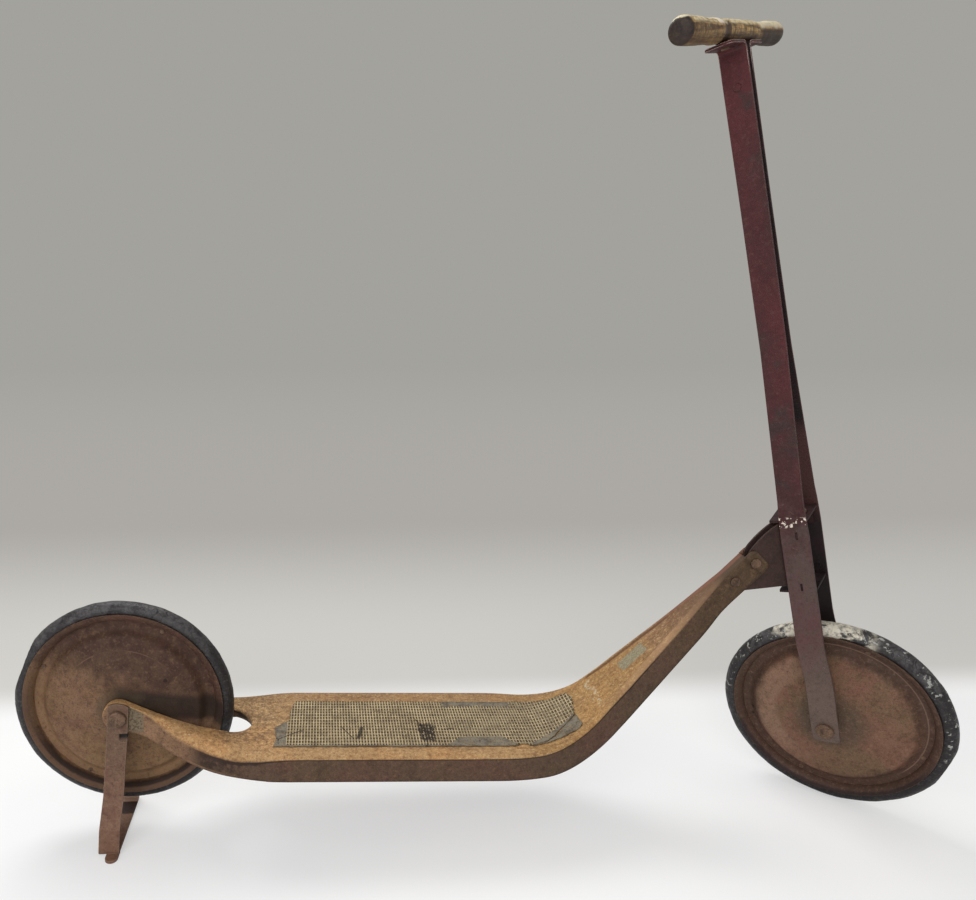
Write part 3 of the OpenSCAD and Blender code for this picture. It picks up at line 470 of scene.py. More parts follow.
def mat_material():
    """Ribbed rubber mat: pale lattice, dark cells, and grey backing where its face has gone."""
    n = Worn("mat_rubber")
    x, y = n.along(PLAT_X, REAR_AXLE), n.along((0, 1, 0))

    def wave(value, pitch):
        """1 half way between two ribs and 0 on a rib."""
        # The whole number added keeps the share positive
        share = n.sum("FRACT", n.sum("MULTIPLY_ADD", value, 1 / pitch, 100.0))
        return n.sum("MULTIPLY", n.sum("ABSOLUTE", n.sum("SUBTRACT", share, 0.5)), 2.0)

    cell = n.both(n.step(wave(x, RIB_PITCH), 0.28, 0.46), n.step(wave(y, ROW_PITCH), 0.12, 0.28))
    strong = n.step(wave(x, 2 * RIB_PITCH), 0.55, 0.75)
    # Where the face has gone: the near shore, an inlet, the tail end and the torn corner
    lump = n.both(n.step(x, 0.372, 0.392), n.step(x, 0.458, 0.436), 0.0165)
    shore = n.sum("SUBTRACT", n.moved(y, n.mid, 0.006), lump)
    bare = n.step(shore, -0.0520, -0.0528)
    inlet = n.both(n.between(n.moved(x, n.mid, 0.03), 0.380, 0.462, 0.004),
                   n.step(n.moved(y, n.mid, 0.016), 0.033, 0.035))
    tail = n.step(n.moved(x, n.mid, 0.012), 0.189, 0.187)
    corner = n.both(n.step(x, 0.470, 0.474),
                    n.step(n.sum("MULTIPLY_ADD", x, -0.62, y), -0.3407, -0.3415))
    bare = n.sum("MAXIMUM", n.sum("MAXIMUM", bare, inlet), n.sum("MAXIMUM", tail, corner))
    ribbed = n.sum("SUBTRACT", 1.0, bare)
    colour = n.mix(n.step(n.mid, 0.4, 0.65), (202, 182, 144), (166, 148, 118))
    colour = n.over(colour, (204, 188, 148), strong, 0.55)
    dark = n.mix(n.step(n.small, 0.4, 0.6), (58, 44, 32), (88, 70, 50))
    colour = n.over(colour, dark, cell, 0.95)
    colour = n.over(colour, (86, 72, 54), n.step(n.noise(48, 5, 0.68, 0.5), 0.52, 0.66), 0.4)
    dusty = n.step(n.moved(x, n.big, 0.12), 0.36, 0.42)
    colour = n.over(colour, (140, 128, 106), dusty, n.step(n.small, 0.42, 0.62), 0.5)
    grey = n.mix(n.step(n.mid, 0.42, 0.62), (128, 120, 106), (96, 88, 78))
    grey = n.over(grey, (142, 126, 98), n.step(n.small, 0.48, 0.62), 0.55)
    grey = n.over(grey, (70, 58, 46), n.step(n.fine, 0.5, 0.64), 0.5)
    colour = n.mix(bare, colour, grey)
    colour = n.over(colour, (58, 46, 34), n.step(n.fine, 0.58, 0.70), 0.3)
    blot = n.both(n.between(n.moved(x, n.mid, 0.016), 0.345, 0.360, 0.004),
                  n.between(n.moved(y, n.small, 0.016), -0.042, -0.010, 0.005),
                  n.step(n.small, 0.38, 0.5))
    colour = n.over(colour, (38, 31, 28), blot, 0.9)
    cracks = n.both(n.step(n.cells(16, "DISTANCE_TO_EDGE"), 0.014, 0.004),
                    n.step(n.big, 0.52, 0.56))
    colour = n.over(colour, (40, 32, 26), cracks, 0.8)
    height = n.sum("SUBTRACT", n.both(cell, ribbed, -0.9), cracks)
    normal = n.bump(height, 0.9, 0.0012, n.bump(n.fine, 0.35, 0.0005, n.bump(n.mid, 0.3, 0.002)))
    return n.done(colour, n.dull(0.7, 0.88), normal, gloss=0.2)


def steel_material():
    n = Worn("old_steel")
    colour = n.mix(n.step(n.mid, 0.4, 0.6), (122, 96, 78), (96, 76, 62))
    colour = n.mottled(colour, (54, 38, 31), (150, 124, 98), 0.9)
    colour = n.over(colour, (176, 150, 124), n.edge(0.0008), 0.5)
    metal = n.ramp(n.fine, (0.4, 0.5), (0.7, 0.2))
    return n.done(colour, n.dull(0.42, 0.66), n.pitted(1.0, 0.0008), metal)


def wood_material():
    """Turned grip with yellowed varnish, bare pale wood and sooty ends."""
    n = Worn("grip_wood")
    t, up, out = n.along(FORK_Y, GRIP), n.along(FORK_Z, GRIP), n.along(FORK_X, GRIP)
    local = n.joined(t, up, out)
    grain = n.noise(60, 6, 0.6, 0.6, where=local, stretch=(0.12, 2.2, 2.2))
    lines = n.noise(420, 4, 0.6, 0.2, where=local, stretch=(0.05, 1, 1))
    rings = n.noise(160, 3, 0.5, 0.2, where=local, stretch=(2.4, 0.2, 0.2))
    colour = n.mix(n.step(grain, 0.42, 0.58), (204, 164, 102), (112, 80, 46))
    colour = n.over(colour, (70, 50, 34), n.step(lines, 0.48, 0.62), 0.7)
    colour = n.over(colour, (74, 54, 38), n.step(rings, 0.5, 0.62), 0.65)
    colour = n.mottled(colour, (56, 40, 30), (222, 196, 132), 1.0)
    # Under side darkened as painted shade
    belly = n.step(n.moved(up, n.mid, 0.010), -0.001, -0.006)
    colour = n.over(colour, (78, 58, 44), belly, 0.65)
    # Painted highlight on the bead's top, dark groove, and the far end's flaked white top
    bead = n.both(n.between(n.moved(t, n.mid, 0.006), -0.064, -0.050, 0.002),
                  n.step(up, 0.002, 0.005))
    colour = n.over(colour, (240, 230, 226), bead, 0.95)
    groove = n.both(n.between(n.moved(t, n.mid, 0.008), -0.050, -0.036, 0.003),
                    n.step(up, 0.010, 0.006))
    colour = n.over(colour, (58, 40, 34), groove, 0.85)
    flaked = n.both(n.step(n.moved(t, n.mid, 0.02), 0.058, 0.066),
                    n.step(n.moved(up, n.mid, 0.012), 0.0, 0.004))
    colour = n.over(colour, (214, 204, 180), flaked, 0.85)
    # Painted shade under the far end, both dark end faces, a painted highlight on top up to the end
    # faces, and chips by the near one
    painted_shading = n.both(n.step(n.moved(t, n.mid, 0.02), 0.060, 0.075),
                  n.step(n.moved(up, n.small, 0.012), 0.002, -0.003))
    colour = n.over(colour, (50, 41, 39), painted_shading, 0.85)
    cap = n.step(n.moved(n.sum("ABSOLUTE", t), n.small, 0.004), 0.1335, 0.1355)
    black = n.mix(n.step(n.mid, 0.4, 0.62), (34, 27, 28), (58, 46, 42))
    colour = n.over(colour, black, cap, 0.95)
    top_highlight = n.both(n.step(n.moved(up, n.mid, 0.006), 0.0022, 0.0062), n.step(n.small, 0.38, 0.52),
                   n.step(n.sum("ABSOLUTE", t), 0.136, 0.130))
    colour = n.over(colour, (238, 220, 178), top_highlight, 0.8)
    chip = n.both(n.between(n.moved(t, n.small, 0.004), -0.1365, -0.128, 0.001),
                  n.step(up, 0.0078, 0.0095))
    colour = n.over(colour, (232, 220, 184), chip, 0.85)
    height = n.sum("MULTIPLY_ADD", n.fine, 0.4, lines)
    normal = n.bump(height, 0.6, 0.0008, n.bump(grain, 0.4, 0.0018))
    return n.done(colour, n.dull(0.42, 0.7), normal, gloss=0.3)


def bracket_material():
    n = Worn("bracket_paint")
    colour = n.mix(n.step(n.big, 0.4, 0.62), (52, 36, 33), (64, 46, 41))
    colour = n.mottled(colour, (32, 22, 21), (96, 74, 62), 0.55)
    colour = n.over(colour, (122, 96, 78), n.edge(0.0012), n.step(n.mid, 0.4, 0.55), 0.6)
    return n.done(colour, n.dull(0.5, 0.75), n.pitted(0.9), gloss=0.25)


def stand_material():
    """Brown paint over rust, darker where the wheel shades the far leg."""
    n = Worn("stand_paint")
    x, y, z = n.along((1, 0, 0)), n.along((0, 1, 0)), n.along((0, 0, 1))
    colour = n.mix(n.step(n.moved(z, n.big, 0.1), 0.03, 0.14), (126, 94, 76), (108, 84, 68))
    colour = n.over(colour, (116, 76, 66), n.step(n.mid, 0.52, 0.66), 0.5)
    colour = n.mottled(colour, (64, 45, 38), (150, 118, 96), 0.75)
    far = n.step(y, 0.0, 0.01)
    colour = n.over(colour, (52, 40, 38), far, n.step(n.moved(z, n.mid, 0.006), 0.020, 0.024), 0.8)
    colour = n.over(colour, (176, 150, 130), n.edge(0.0012), n.step(n.mid, 0.32, 0.46), 0.6)
    # The foot bar takes painted shade from the wheel, with a painted highlight at its far end
    low = n.step(z, 0.014, 0.008)
    colour = n.over(colour, (40, 29, 27), low, n.between(y, 0.012, 0.033, 0.003), 0.9)
    colour = n.over(colour, (172, 142, 124), low, n.step(y, 0.0345, 0.0365), 0.85)
    # Painted shade inside the notch and over the tongue bent in from it
    notch = n.both(n.between(z, 0.1345, 0.1435, 0.001), n.step(x, -0.4145, -0.4125))
    colour = n.over(colour, (26, 20, 19), notch, n.step(z, 0.1345, 0.140))
    return n.done(colour, n.dull(0.5, 0.72), n.pitted(0.9), gloss=0.25)


STEEL = steel_material()
FORK = fork_material()
CROSS = crosspiece_material()
REAR_DISC = rear_disc_material()
FRONT_DISC = front_disc_material()
LOOKS = {
    "deck": deck_material(),
    "deck_mat": mat_material(),
    "head_bracket": bracket_material(),
    "fork_leg_right": FORK, "fork_leg_left": FORK,
    "upper_crosspiece": CROSS, "lower_crosspiece": CROSS, "column_rivet": FORK,
    "grip": wood_material(),
    "front_disc_right": FRONT_DISC, "front_disc_left": FRONT_DISC,
    "rear_disc_right": REAR_DISC, "rear_disc_left": REAR_DISC,
    "front_tyre": tyre_material("front_tyre_rubber", FRONT_AXLE, FRONT_DIR, True),
    "rear_tyre": tyre_material("rear_tyre_rubber", REAR_AXLE, REAR_DIR, False),
    "stand": stand_material(),
}
for name, node in NODES.items():
    node.data.materials.clear()
    node.data.materials.append(LOOKS.get(name, STEEL))


# ---- pieces
def mm(x, y, z):
    """A point of the platform's frame, in millimetres from the rear axle, as a world point."""
    return REAR_AXLE + (PLAT_X * x + Vector((0, y, 0)) + PLAT_Z * z) / 1000


def bezier(a, b, c, d, steps):
    out = []
    for i in range(steps + 1):
        t = i / steps
        u = 1 - t
        out.append(tuple(u ** 3 * p + 3 * u * u * t * q + 3 * u * t * t * r + t ** 3 * s
                         for p, q, r, s in zip(a, b, c, d)))
    return out


def arc(x, z, r, start, end, steps):
    turns = [math.radians(start + (end - start) * i / steps) for i in range(steps + 1)]
    return [(x + r * math.cos(w), z + r * math.sin(w)) for w in turns]


def on_line(line, x):
    """Height of a line of points, sorted along x, at x."""
    for (x0, z0), (x1, z1) in zip(line, line[1:]):
        if x <= x1:
            return z0 + (z1 - z0) * (x - x0) / max(x1 - x0, 1e-9)
    return line[-1][1]


def ease(x, low, high):
    t = min(1, max(0, (x - low) / (high - low)))
    return t * t * (3 - 2 * t)


def spread(line, count):
    """A line of points laid out again at even distances."""
    length = [0]
    for p, q in zip(line, line[1:]):
        length.append(length[-1] + math.dist(p, q))
    out, k = [], 0
    for i in range(count + 1):
        at = length[-1] * i / count
        while k < len(length) - 2 and length[k + 1] < at:
            k += 1
        t = (at - length[k]) / max(length[k + 1] - length[k], 1e-9)
        out.append(tuple(a + (b - a) * t for a, b in zip(line[k], line[k + 1])))
    return out


def placed(name, data):
    """A new object in the scene."""
    made = bpy.data.objects.new(name, data)
    bpy.context.scene.collection.objects.link(made)
    return made


def new_piece(name, bm, material, body, smooth=60):
    """A mesh piece from a bmesh in world metres, with smooth faces between sharp edges."""
    mesh = bpy.data.meshes.new(name)
    bm.to_mesh(mesh)
    bm.free()
    mesh.shade_smooth()
    mesh.set_sharp_from_angle(angle=math.radians(smooth))
    mesh.materials.append(material)
    piece = placed(name, mesh)
    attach(piece, body)
    return piece


# The platform's pressing, in millimetres: how far its top lies below the rear axle, its half
# width, and its sheet and side walls
DROP, HALF, SHEET, WALL = 27.4, 75.0, 2.2, 31.2
# Height of the walls' lower edge
LOW = -DROP - WALL
# The neck: its corner, slope and bend, then its length, walls and half widths
NECK_X, NECK_SLOPE, BEND_R = 519.5, 48.4, 110.0
NECK_LEN, NECK_WALL, EAR_WALL, NECK_HALF, NECK_TIP = 302.6, 34.5, 30.5, 36.0, 8.5
NECK_ANGLE = math.radians(NECK_SLOPE)
# Where the bend starts on the top, and where it starts and how wide it is on the lower edge
BEND_X = NECK_X - BEND_R * math.tan(NECK_ANGLE / 2)
LOW_BEND_X, LOW_BEND_R = 484.0, 120
# How far up the neck its bend ends, and how far the ears reach past the end of the web
BEND_END, EAR_REACH = 49.4, 13
# The eyes round the rear axle, and how far round the eye the arm's top leaves it
EYE_HALF, EYE_R, HOLE_R, ARM_TURN = 36.0, 18.0, 5.1, 56
ARM_ANGLE = math.radians(ARM_TURN)
# The wheel's slot: half its width, its front end's centre, and its lip's height and bend
SLOT_HALF, SLOT_END, LIP, LIP_R = 25.0, 121.0, 9.0, 2.5
SLOT_EDGE = SLOT_HALF + LIP_R
# Along the top: where stations fan out round the slot's end, where they are square again, and
# where the web closes; and how far ahead the lower edge's points lie there
FAN_START, FAN_END, CLOSED, LEAD = 100, 162, 194, 4
# Faces across the web, round the edge and down the wall
WEB_PARTS, CORNER_PARTS, WALL_PARTS = 16, 6, 6


def neck_point(along, deep):
    return (NECK_X + along * math.cos(NECK_ANGLE) + deep * math.sin(NECK_ANGLE),
            -DROP + along * math.sin(NECK_ANGLE) - deep * math.cos(NECK_ANGLE))


# Half width along the platform, and the lines of its top edge and its arms' lower edge
PLAN = ([(-60, EYE_HALF)] + bezier((23, EYE_HALF), (62, EYE_HALF), (115, HALF), (190, HALF), 16)
        + bezier((430, HALF), (505.5, HALF), (529.5, 46), (585.5, NECK_HALF), 16)
        + [(691.5, NECK_TIP), (900, NECK_TIP)])
ARM_TOP = bezier((EYE_R * math.cos(ARM_ANGLE), EYE_R * math.sin(ARM_ANGLE)),
                 (42, 0), (95.3, -DROP), (164.8, -DROP), 24)
TOP = (ARM_TOP + arc(BEND_X, BEND_R - DROP, BEND_R, -90, NECK_SLOPE - 90, 24)
       + [neck_point(NECK_LEN, 0)])
ARM_LOW = bezier((2, -EYE_R), (40, -EYE_R), (48, LOW + 7), (120.4, LOW + 2), 16)


def rounding(x):
    """Height of the rounded edge between the top and the side walls."""
    r = 1.2 + 17 * ease(x, 14, 85)
    r += (4.6 - r) * ease(x, 95, 200)
    r += 3.4 * ease(x, 500, 580)
    return r - 6.4 * ease(x, 630, 706)


def arm_stations():
    """Pairs of a top and a bottom point round the eye and along the arm, back to front."""
    pairs = list(zip(arc(0, 0, EYE_R, 270, ARM_TURN, 16), arc(0, 0, HOLE_R, 270, ARM_TURN, 16)))
    first, rest = ARM_TOP[1:7], ARM_TOP[7:]
    pairs += zip(first, arc(0, 0, HOLE_R, ARM_TURN, -90, 6)[1:])
    pairs.append(((first[-1][0] + 1.0, first[-1][1] - 0.7), (0.5, -EYE_R)))
    low = spread(ARM_LOW + [(164.8, LOW)], len(rest))
    pairs += zip(rest, low[1:])
    return [(top, low) for top, low in pairs if top[0] < FAN_START]


def deck_stations():
    """Stations along the pressing, back to front.

    Each is a top point, a bottom point, the point where the web starts, and the way the slot's
    lip turns off there, or None where the web starts on the middle line.
    """
    out = [(top, low, (top[0], SLOT_EDGE, top[1]), (0.0, -1.0)) for top, low in arm_stations()]
    # Round the front end of the wheel's slot the stations fan out
    low_line = ARM_LOW + [(175.2, LOW), (300, LOW)]
    last_low = out[-1][1][0]
    for k in range(1, 13):
        turn = math.radians(90 * k / 12)
        across, ahead = math.cos(turn), math.sin(turn)
        x = FAN_START + (FAN_END - FAN_START) * (k / 12)
        low_x = last_low + (FAN_END + LEAD - last_low) * (k / 12)
        inner = SLOT_END + SLOT_EDGE * ahead
        out.append(((x, on_line(TOP, x)), (low_x, on_line(low_line, low_x)),
                    (inner, SLOT_EDGE * across, on_line(TOP, inner)), (-ahead, -across)))
    for k in range(1, 9):
        x = FAN_END + (CLOSED - FAN_END) * k / 8
        inner = 152 + (x - 152) * (0.4 + 0.6 * k / 8)
        out.append(((x, -DROP), (x + LEAD, LOW), (inner, 0.0, on_line(TOP, inner)), None))
    low = CLOSED + LEAD
    pairs = [((CLOSED + (BEND_X - CLOSED) * k / 27, -DROP),
              (low + (LOW_BEND_X - low) * k / 27, LOW)) for k in range(1, 28)]
    pairs += zip(arc(BEND_X, BEND_R - DROP, BEND_R, -90, NECK_SLOPE - 90, 16)[1:],
                 arc(LOW_BEND_X, LOW_BEND_R + LOW, LOW_BEND_R, -90, NECK_SLOPE - 90, 16)[1:])
    for k in range(1, 31):
        along = BEND_END + (NECK_LEN - EAR_REACH - BEND_END) * k / 30
        deep = EAR_WALL + (NECK_WALL - EAR_WALL) * ease(NECK_LEN - along, 58, 114)
        low_along = along - 6.5 * (1 - ease(along, BEND_END, 160))
        pairs.append((neck_point(along, 0), neck_point(low_along, deep)))
    return out + [(top, low, (top[0], 0.0, top[1]), None) for top, low in pairs]


def deck_row(top, low, start, lip):
    """One station's points: across the web, round the edge and down the wall."""
    w = on_line(PLAN, top[0])
    dx, dz = low[0] - top[0], low[1] - top[1]
    deep = math.hypot(dx, dz)
    dx, dz = dx / deep, dz / deep
    r = min(rounding(top[0]), 0.45 * deep)
    wide = min(r, 0.85 * (w - SLOT_EDGE) if lip else 0.55 * w)
    # The neck's web is pressed a little deeper than its border
    neck = ease(top[0], 549, 572) * (1 - ease(top[0], 622, 660))
    row = []
    for i in range(WEB_PARTS):
        t = i / WEB_PARTS
        x = start[0] + (top[0] - start[0]) * t
        y = start[1] + (w - wide - start[1]) * t
        z = top[1] if start[0] == top[0] else on_line(TOP, x)
        dip = 1.5 * neck * ease(w - y, 8, 11)
        row.append((x + dip * dx, y, z + dip * dz))
    for i in range(CORNER_PARTS + 1):
        a = math.pi / 2 * i / CORNER_PARTS
        down = r * (1 - math.cos(a))
        x = top[0] + dx * down
        row.append((x, on_line(PLAN, x) - wide * (1 - math.sin(a)), top[1] + dz * down))
    for i in range(1, WALL_PARTS + 1):
        down = r + (deep - r) * i / WALL_PARTS
        x = top[0] + dx * down
        row.append((x, on_line(PLAN, x), top[1] + dz * down))
    return row


def lip_row(top, start, lip):
    """One station's points down the lip of the wheel's slot, which fades out round the eye."""
    high = LIP * ease(start[0], 48, 72) + 1.2
    turns = [math.pi / 2 * i / 4 for i in range(1, 5)]
    line = [(LIP_R * math.sin(a), LIP_R * (1 - math.cos(a))) for a in turns]
    step = (high - LIP_R) / 3 if high > LIP_R + 0.5 else 0.05
    line += [(LIP_R, LIP_R + step * i) for i in (1, 2, 3)]
    by_eye = math.hypot(*top) < EYE_R + 3
    down_x, down_z = (-top[0] / EYE_R, -top[1] / EYE_R) if by_eye else (0, -1)
    return [(start[0] + lip[0] * o + down_x * d, start[1] + lip[1] * o, start[2] + down_z * d)
            for o, d in line]


def ear_rows():
    """Rows of points over one ear past the end of the web, with rounded corners."""
    rows = []
    for k in range(9):
        along = NECK_LEN - EAR_REACH + EAR_REACH * math.sin(math.pi / 2 * k / 8)
        bite = 6 - math.sqrt(max(0, 36 - max(0, along - NECK_LEN + 6) ** 2))
        points = [neck_point(along, bite + (EAR_WALL - 2 * bite) * i / 6) for i in range(7)]
        rows.append([(x, NECK_TIP, z) for x, z in points])
    return rows


def skin(bm, rows):
    """Faces between each row of vertices and the next, where both rows have some."""
    for a, b in zip(rows, rows[1:]):
        for i in range(min(len(a), len(b)) - 1):
            bm.faces.new((a[i], b[i], b[i + 1], a[i + 1]))


def build_deck():
    """The pressing, drawn as its outer face and thickened inward."""
    bm = bmesh.new()
    for side in (-1, 1):
        def verts(points):
            return [bm.verts.new(mm(x, side * y, z)) for x, y, z in points]
        rows, lips = [], []
        for top, low, start, lip in deck_stations():
            rows.append(verts(deck_row(top, low, start, lip)))
            lips.append([rows[-1][0]] + verts(lip_row(top, start, lip)) if lip else [])
        skin(bm, rows)
        skin(bm, lips)
        skin(bm, [verts(points) for points in ear_rows()])
    bmesh.ops.remove_doubles(bm, verts=bm.verts, dist=0.00004)
    bmesh.ops.recalc_face_normals(bm, faces=bm.faces)
    piece = new_piece("deck_pressing", bm, LOOKS["deck"], "frame")
    thick = piece.modifiers.new("sheet", "SOLIDIFY")
    thick.thickness = SHEET / 1000
    thick.offset = -1
    thick.use_even_offset = True
    thick.use_quality_normals = True
    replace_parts(piece, "deck")


build_deck()


def revolved(name, centre, axis, count, section, closed, material, body):
    """A turned piece: section(turn) gives its points as radius and height along the axis, in mm."""
    axis, ahead, over = wheel_axes(axis)
    bm = bmesh.new()
    rings = []
    for i in range(count):
        turn = math.tau * i / count
        out = ahead * math.cos(turn) + over * math.sin(turn)
        rings.append([bm.verts.new(centre + (out * r + axis * h) / 1000) for r, h in section(turn)])
    for a, b in zip(rings, rings[1:] + rings[:1]):
        for k in range(len(a) if closed else len(a) - 1):
            j = (k + 1) % len(a)
            bm.faces.new((a[k], a[j], b[j], b[k]))
    bmesh.ops.remove_doubles(bm, verts=bm.verts, dist=0.00001)
    return new_piece(name, bm, material, body)


# Radius of a tyre's middle circle round the axle, and of its section
RING_R, TYRE_R = 116.0, 11.0


def tyre(end, centre, axis, worn, flat_at, flat_half, seed):
    """A perished tyre: worn by some millimetres all round, and flat on one stretch of tread."""
    flat_at, flat_half = math.radians(flat_at), math.radians(flat_half)

    def section(turn):
        away = abs((turn - flat_at + math.pi) % math.tau - math.pi)
        limit = (RING_R + TYRE_R - worn) * math.cos(flat_half) / math.cos(min(away, flat_half))
        points = []
        for k in range(32):
            w = math.tau * k / 32
            spot = Vector((7 * math.cos(turn), 7 * math.sin(turn), 0.6 * math.cos(w) + seed))
            lump = 0.45 * noise.noise(spot) + 0.25 * noise.noise(spot * 4) - 0.7
            thick = TYRE_R + lump
            r = RING_R + thick * math.cos(w) - worn * max(0, math.cos(w))
            if away < flat_half:
                r = min(r, limit + 0.5 * lump)
            points.append((r, thick * math.sin(w)))
        return points
    piece = revolved(end + "_worn_tyre", centre, axis, 240, section, True,
                     LOOKS[end + "_tyre"], end + "_wheel")
    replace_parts(piece, end + "_tyre")


tyre("rear", REAR_AXLE, REAR_DIR, 0.9, 155.5, 16.5, 4)
tyre("front", FRONT_AXLE, FRONT_DIR, 0.0, -15, 13, 5)

# The grip's half length, and its radius along it: end bulb, waist, bead, groove, middle, waist
# and end bulb
GRIP_HALF = 138
GRIP_SHAPE = [(-126, 11.7), (-104, 11.5), (-84, 10.9), (-72, 10.6), (-67, 10.7), (-61, 11.2),
              (-55, 11.1), (-48, 10.5), (-41, 10.2), (-33, 10.8), (-20, 11.0), (45, 11.0),
              (54, 10.7), (59, 9.9), (80, 10.2), (104, 11.4), (126, 11.7)]


def grip():
    """The turned grip, its round uneven by a hair."""
    caps = [(-GRIP_HALF, 0.0), (-GRIP_HALF, 7.9), (-GRIP_HALF + 1.2, 10.4), (-GRIP_HALF + 4, 11.6)]
    fine = []
    for (t0, r0), (t1, r1) in zip(GRIP_SHAPE, GRIP_SHAPE[1:]):
        steps = max(2, round((t1 - t0) / 3))
        fine += [(t0 + (t1 - t0) * i / steps, r0 + (r1 - r0) * ease(i / steps, 0, 1))
                 for i in range(steps)]
    line = caps + fine + [GRIP_SHAPE[-1]] + [(-t, r) for t, r in reversed(caps)]

    def section(turn):
        out = []
        for t, r in line:
            spot = Vector((t / 14, 1.4 * math.cos(turn), 1.4 * math.sin(turn)))
            out.append((r * (1 + 0.012 * min(0, noise.noise(spot * 2.2) - 0.2)), t))
        return out
    piece = revolved("turned_grip", GRIP, FORK_Y, 48, section, False, LOOKS["grip"], "fork")
    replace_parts(piece, "grip")


grip()

# Thickness of the mat, and how far it lies clear of the platform
MAT_T, MAT_GAP = 1.6, 0.15


def ragged(points, seed):
    """A closed outline in mm cut into short steps and frayed by a noise."""
    step, reach = 3.0, 0.9
    out = []
    for a, b in zip(points, points[1:] + points[:1]):
        steps = max(1, round(math.dist(a, b) / step))
        for i in range(steps):
            x, y = (p + (q - p) * i / steps for p, q in zip(a, b))
            spot = Vector((x / 5, y / 5, seed))
            other = spot + Vector((9, 9, 9))
            out.append((x + reach * noise.noise(spot), y + reach * noise.noise(other)))
    return out


def top_line(x, lift):
    """Point on the platform's top at x, or on the bend, raised square to the surface."""
    if x <= BEND_X:
        return x, lift - DROP
    w = math.asin((x - BEND_X) / BEND_R)
    r = BEND_R - lift
    return BEND_X + r * math.sin(w), BEND_R - DROP - r * math.cos(w)


def mat_piece(name, outline, seed):
    """A torn sheet of rubber on the platform, from its outline in the platform's plan."""
    edge = ragged(outline, seed)
    # A grid of points inside lets the sheet follow the bend
    inner = [(x, y) for x in range(174, 538, 6) for y in range(-51, 46, 6)]
    points = [Vector(p) for p in edge + inner]
    places, _, faces, *_ = delaunay_2d_cdt(points, [], [list(range(len(edge)))], 1, 1e-4)
    bm = bmesh.new()
    verts = []
    for p in places:
        curl = 0.35 * max(0, noise.noise(Vector((p.x / 16, p.y / 16, seed))))
        x, z = top_line(p.x, MAT_T + MAT_GAP + curl)
        verts.append(bm.verts.new(mm(x, p.y, z)))
    for face in faces:
        bm.faces.new([verts[k] for k in face])
    bmesh.ops.delete(bm, geom=[v for v in bm.verts if not v.link_faces], context="VERTS")
    piece = new_piece(name, bm, LOOKS["deck_mat"], "frame", 50)
    sheet = piece.modifiers.new("thickness", "SOLIDIFY")
    sheet.thickness = MAT_T / 1000
    sheet.offset = -1
    return piece


# The mat and its torn corner in the platform's plan, in mm
MAT_OUTLINE = [(174, -54), (452, -54), (458, -49), (466, -50), (469, -52.5), (485, -48.8),
               (499, -41), (511, -29), (521, -21), (530.5, -15), (537, 19), (533, 33),
               (512, 36.5), (492, 43), (468, 46.5), (455, 45), (196, 46.8), (190.5, 20),
               (191, 2), (186, -3), (174, -15), (177, -42)]
TORN_CORNER = [(471, -53.5), (486, -50.5), (508, -45.5), (529, -42.5), (532.5, -37), (531.5, -16.5),
               (522.5, -22.5), (512.5, -30.5), (500.5, -42.5), (487, -50)]
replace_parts(mat_piece("mat_sheet", MAT_OUTLINE, 1.5), "deck_mat")
mat_piece("mat_torn_corner", TORN_CORNER, 4.5)


# ---- stage, light and camera
BACKDROP = (163, 162, 157)


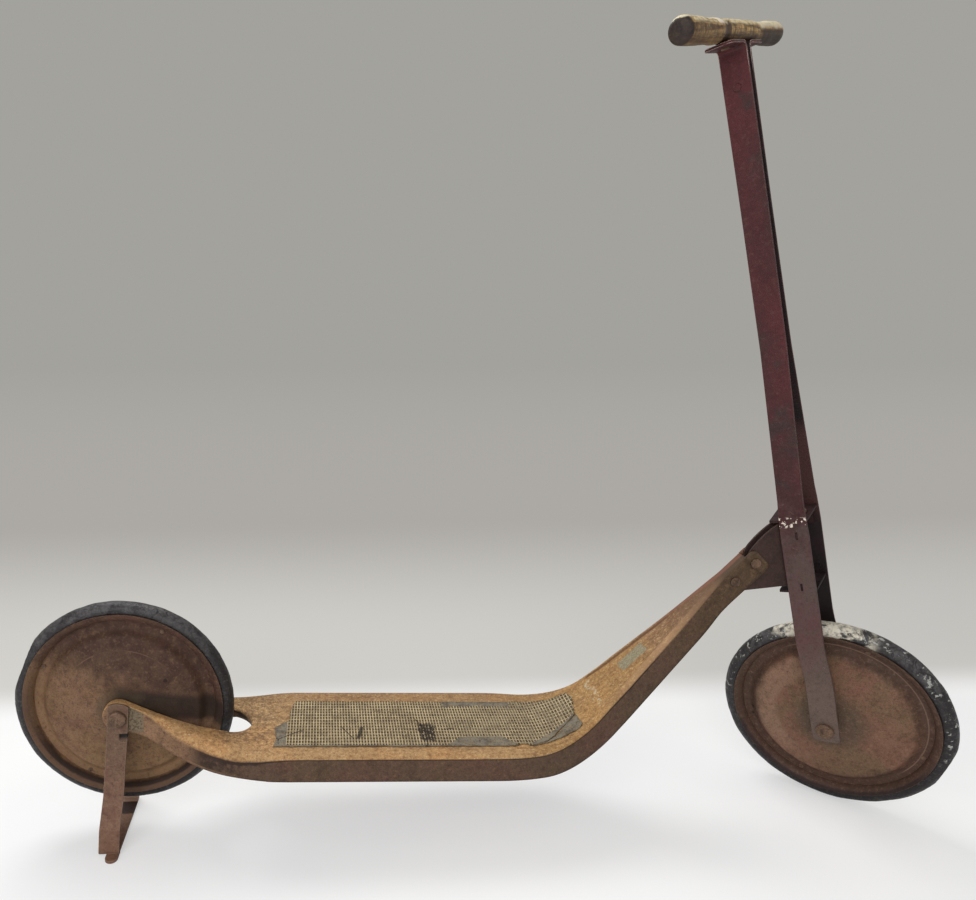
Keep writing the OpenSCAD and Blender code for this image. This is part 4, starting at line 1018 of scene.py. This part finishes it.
def floor_material():
    """Pale sweep, white in front and grey behind, that shows a little brighter than it lights."""
    n = Net("floor_paper")
    y = n.along((0, 1, 0))
    soft = n.noise(3, 3, 0.5)
    near = n.mix(n.step(soft, 0.3, 0.7), (242, 242, 243), (246, 246, 246))
    colour = n.mix(n.step(y, 0.24, 0.36), near, (208, 206, 202))
    colour = n.mix(n.step(y, 0.45, 1.3), colour, (172, 169, 164))
    mat = n.done(colour, 0.9, n.bump(n.noise(300, 3, 0.5), 0.05, 0.0005), gloss=0.1)
    seen = n.add("ShaderNodeLightPath").outputs["Is Camera Ray"]
    glow = n.add("ShaderNodeEmission", {
        "Color": n.mix(n.step(y, 1.3, 6.0), colour, BACKDROP),
        "Strength": n.ramp(n.step(y, 0.2, 0.5), (0.0, 1.15), (1.0, 1.0))})
    share = n.both(seen, n.sum("MULTIPLY_ADD", n.step(y, 0.4, 1.2), 0.6, 0.4))
    blend = n.add("ShaderNodeMixShader", {0: share, 1: n.shader.outputs[0], 2: glow.outputs[0]})
    n.fill(n.tree.nodes["Material Output"], {"Surface": blend.outputs[0]})
    return mat


floor_mesh = bpy.data.meshes.new("floor")
floor_mesh.from_pydata([(-6, -5, 0), (6, -5, 0), (6, 8, 0), (-6, 8, 0)], [], [(0, 1, 2, 3)])
floor_mesh.materials.append(floor_material())
floor = placed("floor", floor_mesh)


def area_light(name, place, aim, size, power):
    data = bpy.data.lights.new(name, "AREA")
    data.shape = "RECTANGLE"
    data.size, data.size_y = size
    data.energy = power
    lamp = placed(name, data)
    lamp.location = place
    lamp.rotation_euler = (Vector(aim) - Vector(place)).to_track_quat("-Z", "Y").to_euler()


area_light("key", (-0.7, 0.9, 2.2), (0.0, 0.0, 0.2), (1.2, 1.0), 24)
area_light("fill", (-0.9, -2.2, 1.6), (0.0, 0.0, 0.3), (2.2, 1.6), 34)
world = bpy.data.worlds.new("studio")
bpy.context.scene.world = world
world.use_nodes = True
tree = world.node_tree
lit, seen = tree.nodes["Background"], tree.nodes.new("ShaderNodeBackground")
lit.inputs["Color"].default_value = tone(228, 227, 224)
lit.inputs["Strength"].default_value = 0.6
seen.inputs["Color"].default_value = tone(*BACKDROP)
blend = tree.nodes.new("ShaderNodeMixShader")
tree.links.new(tree.nodes.new("ShaderNodeLightPath").outputs["Is Camera Ray"], blend.inputs[0])
tree.links.new(lit.outputs[0], blend.inputs[1])
tree.links.new(seen.outputs[0], blend.inputs[2])
tree.links.new(blend.outputs[0], tree.nodes["World Output"].inputs["Surface"])

camera_data = bpy.data.cameras.new("camera")
camera = placed("camera", camera_data)
camera.location = (-0.17494, -0.85265, 0.6303)
camera.rotation_euler = (math.radians(90 - 15.92), 0, math.radians(-3.13))
camera_data.sensor_fit = "HORIZONTAL"
camera_data.sensor_width = 36
camera_data.lens = 29.507
camera_data.shift_x = 0.12138
camera_data.shift_y = 0.0650
bpy.context.scene.camera = camera
bpy.context.scene.view_settings.view_transform = "Standard"
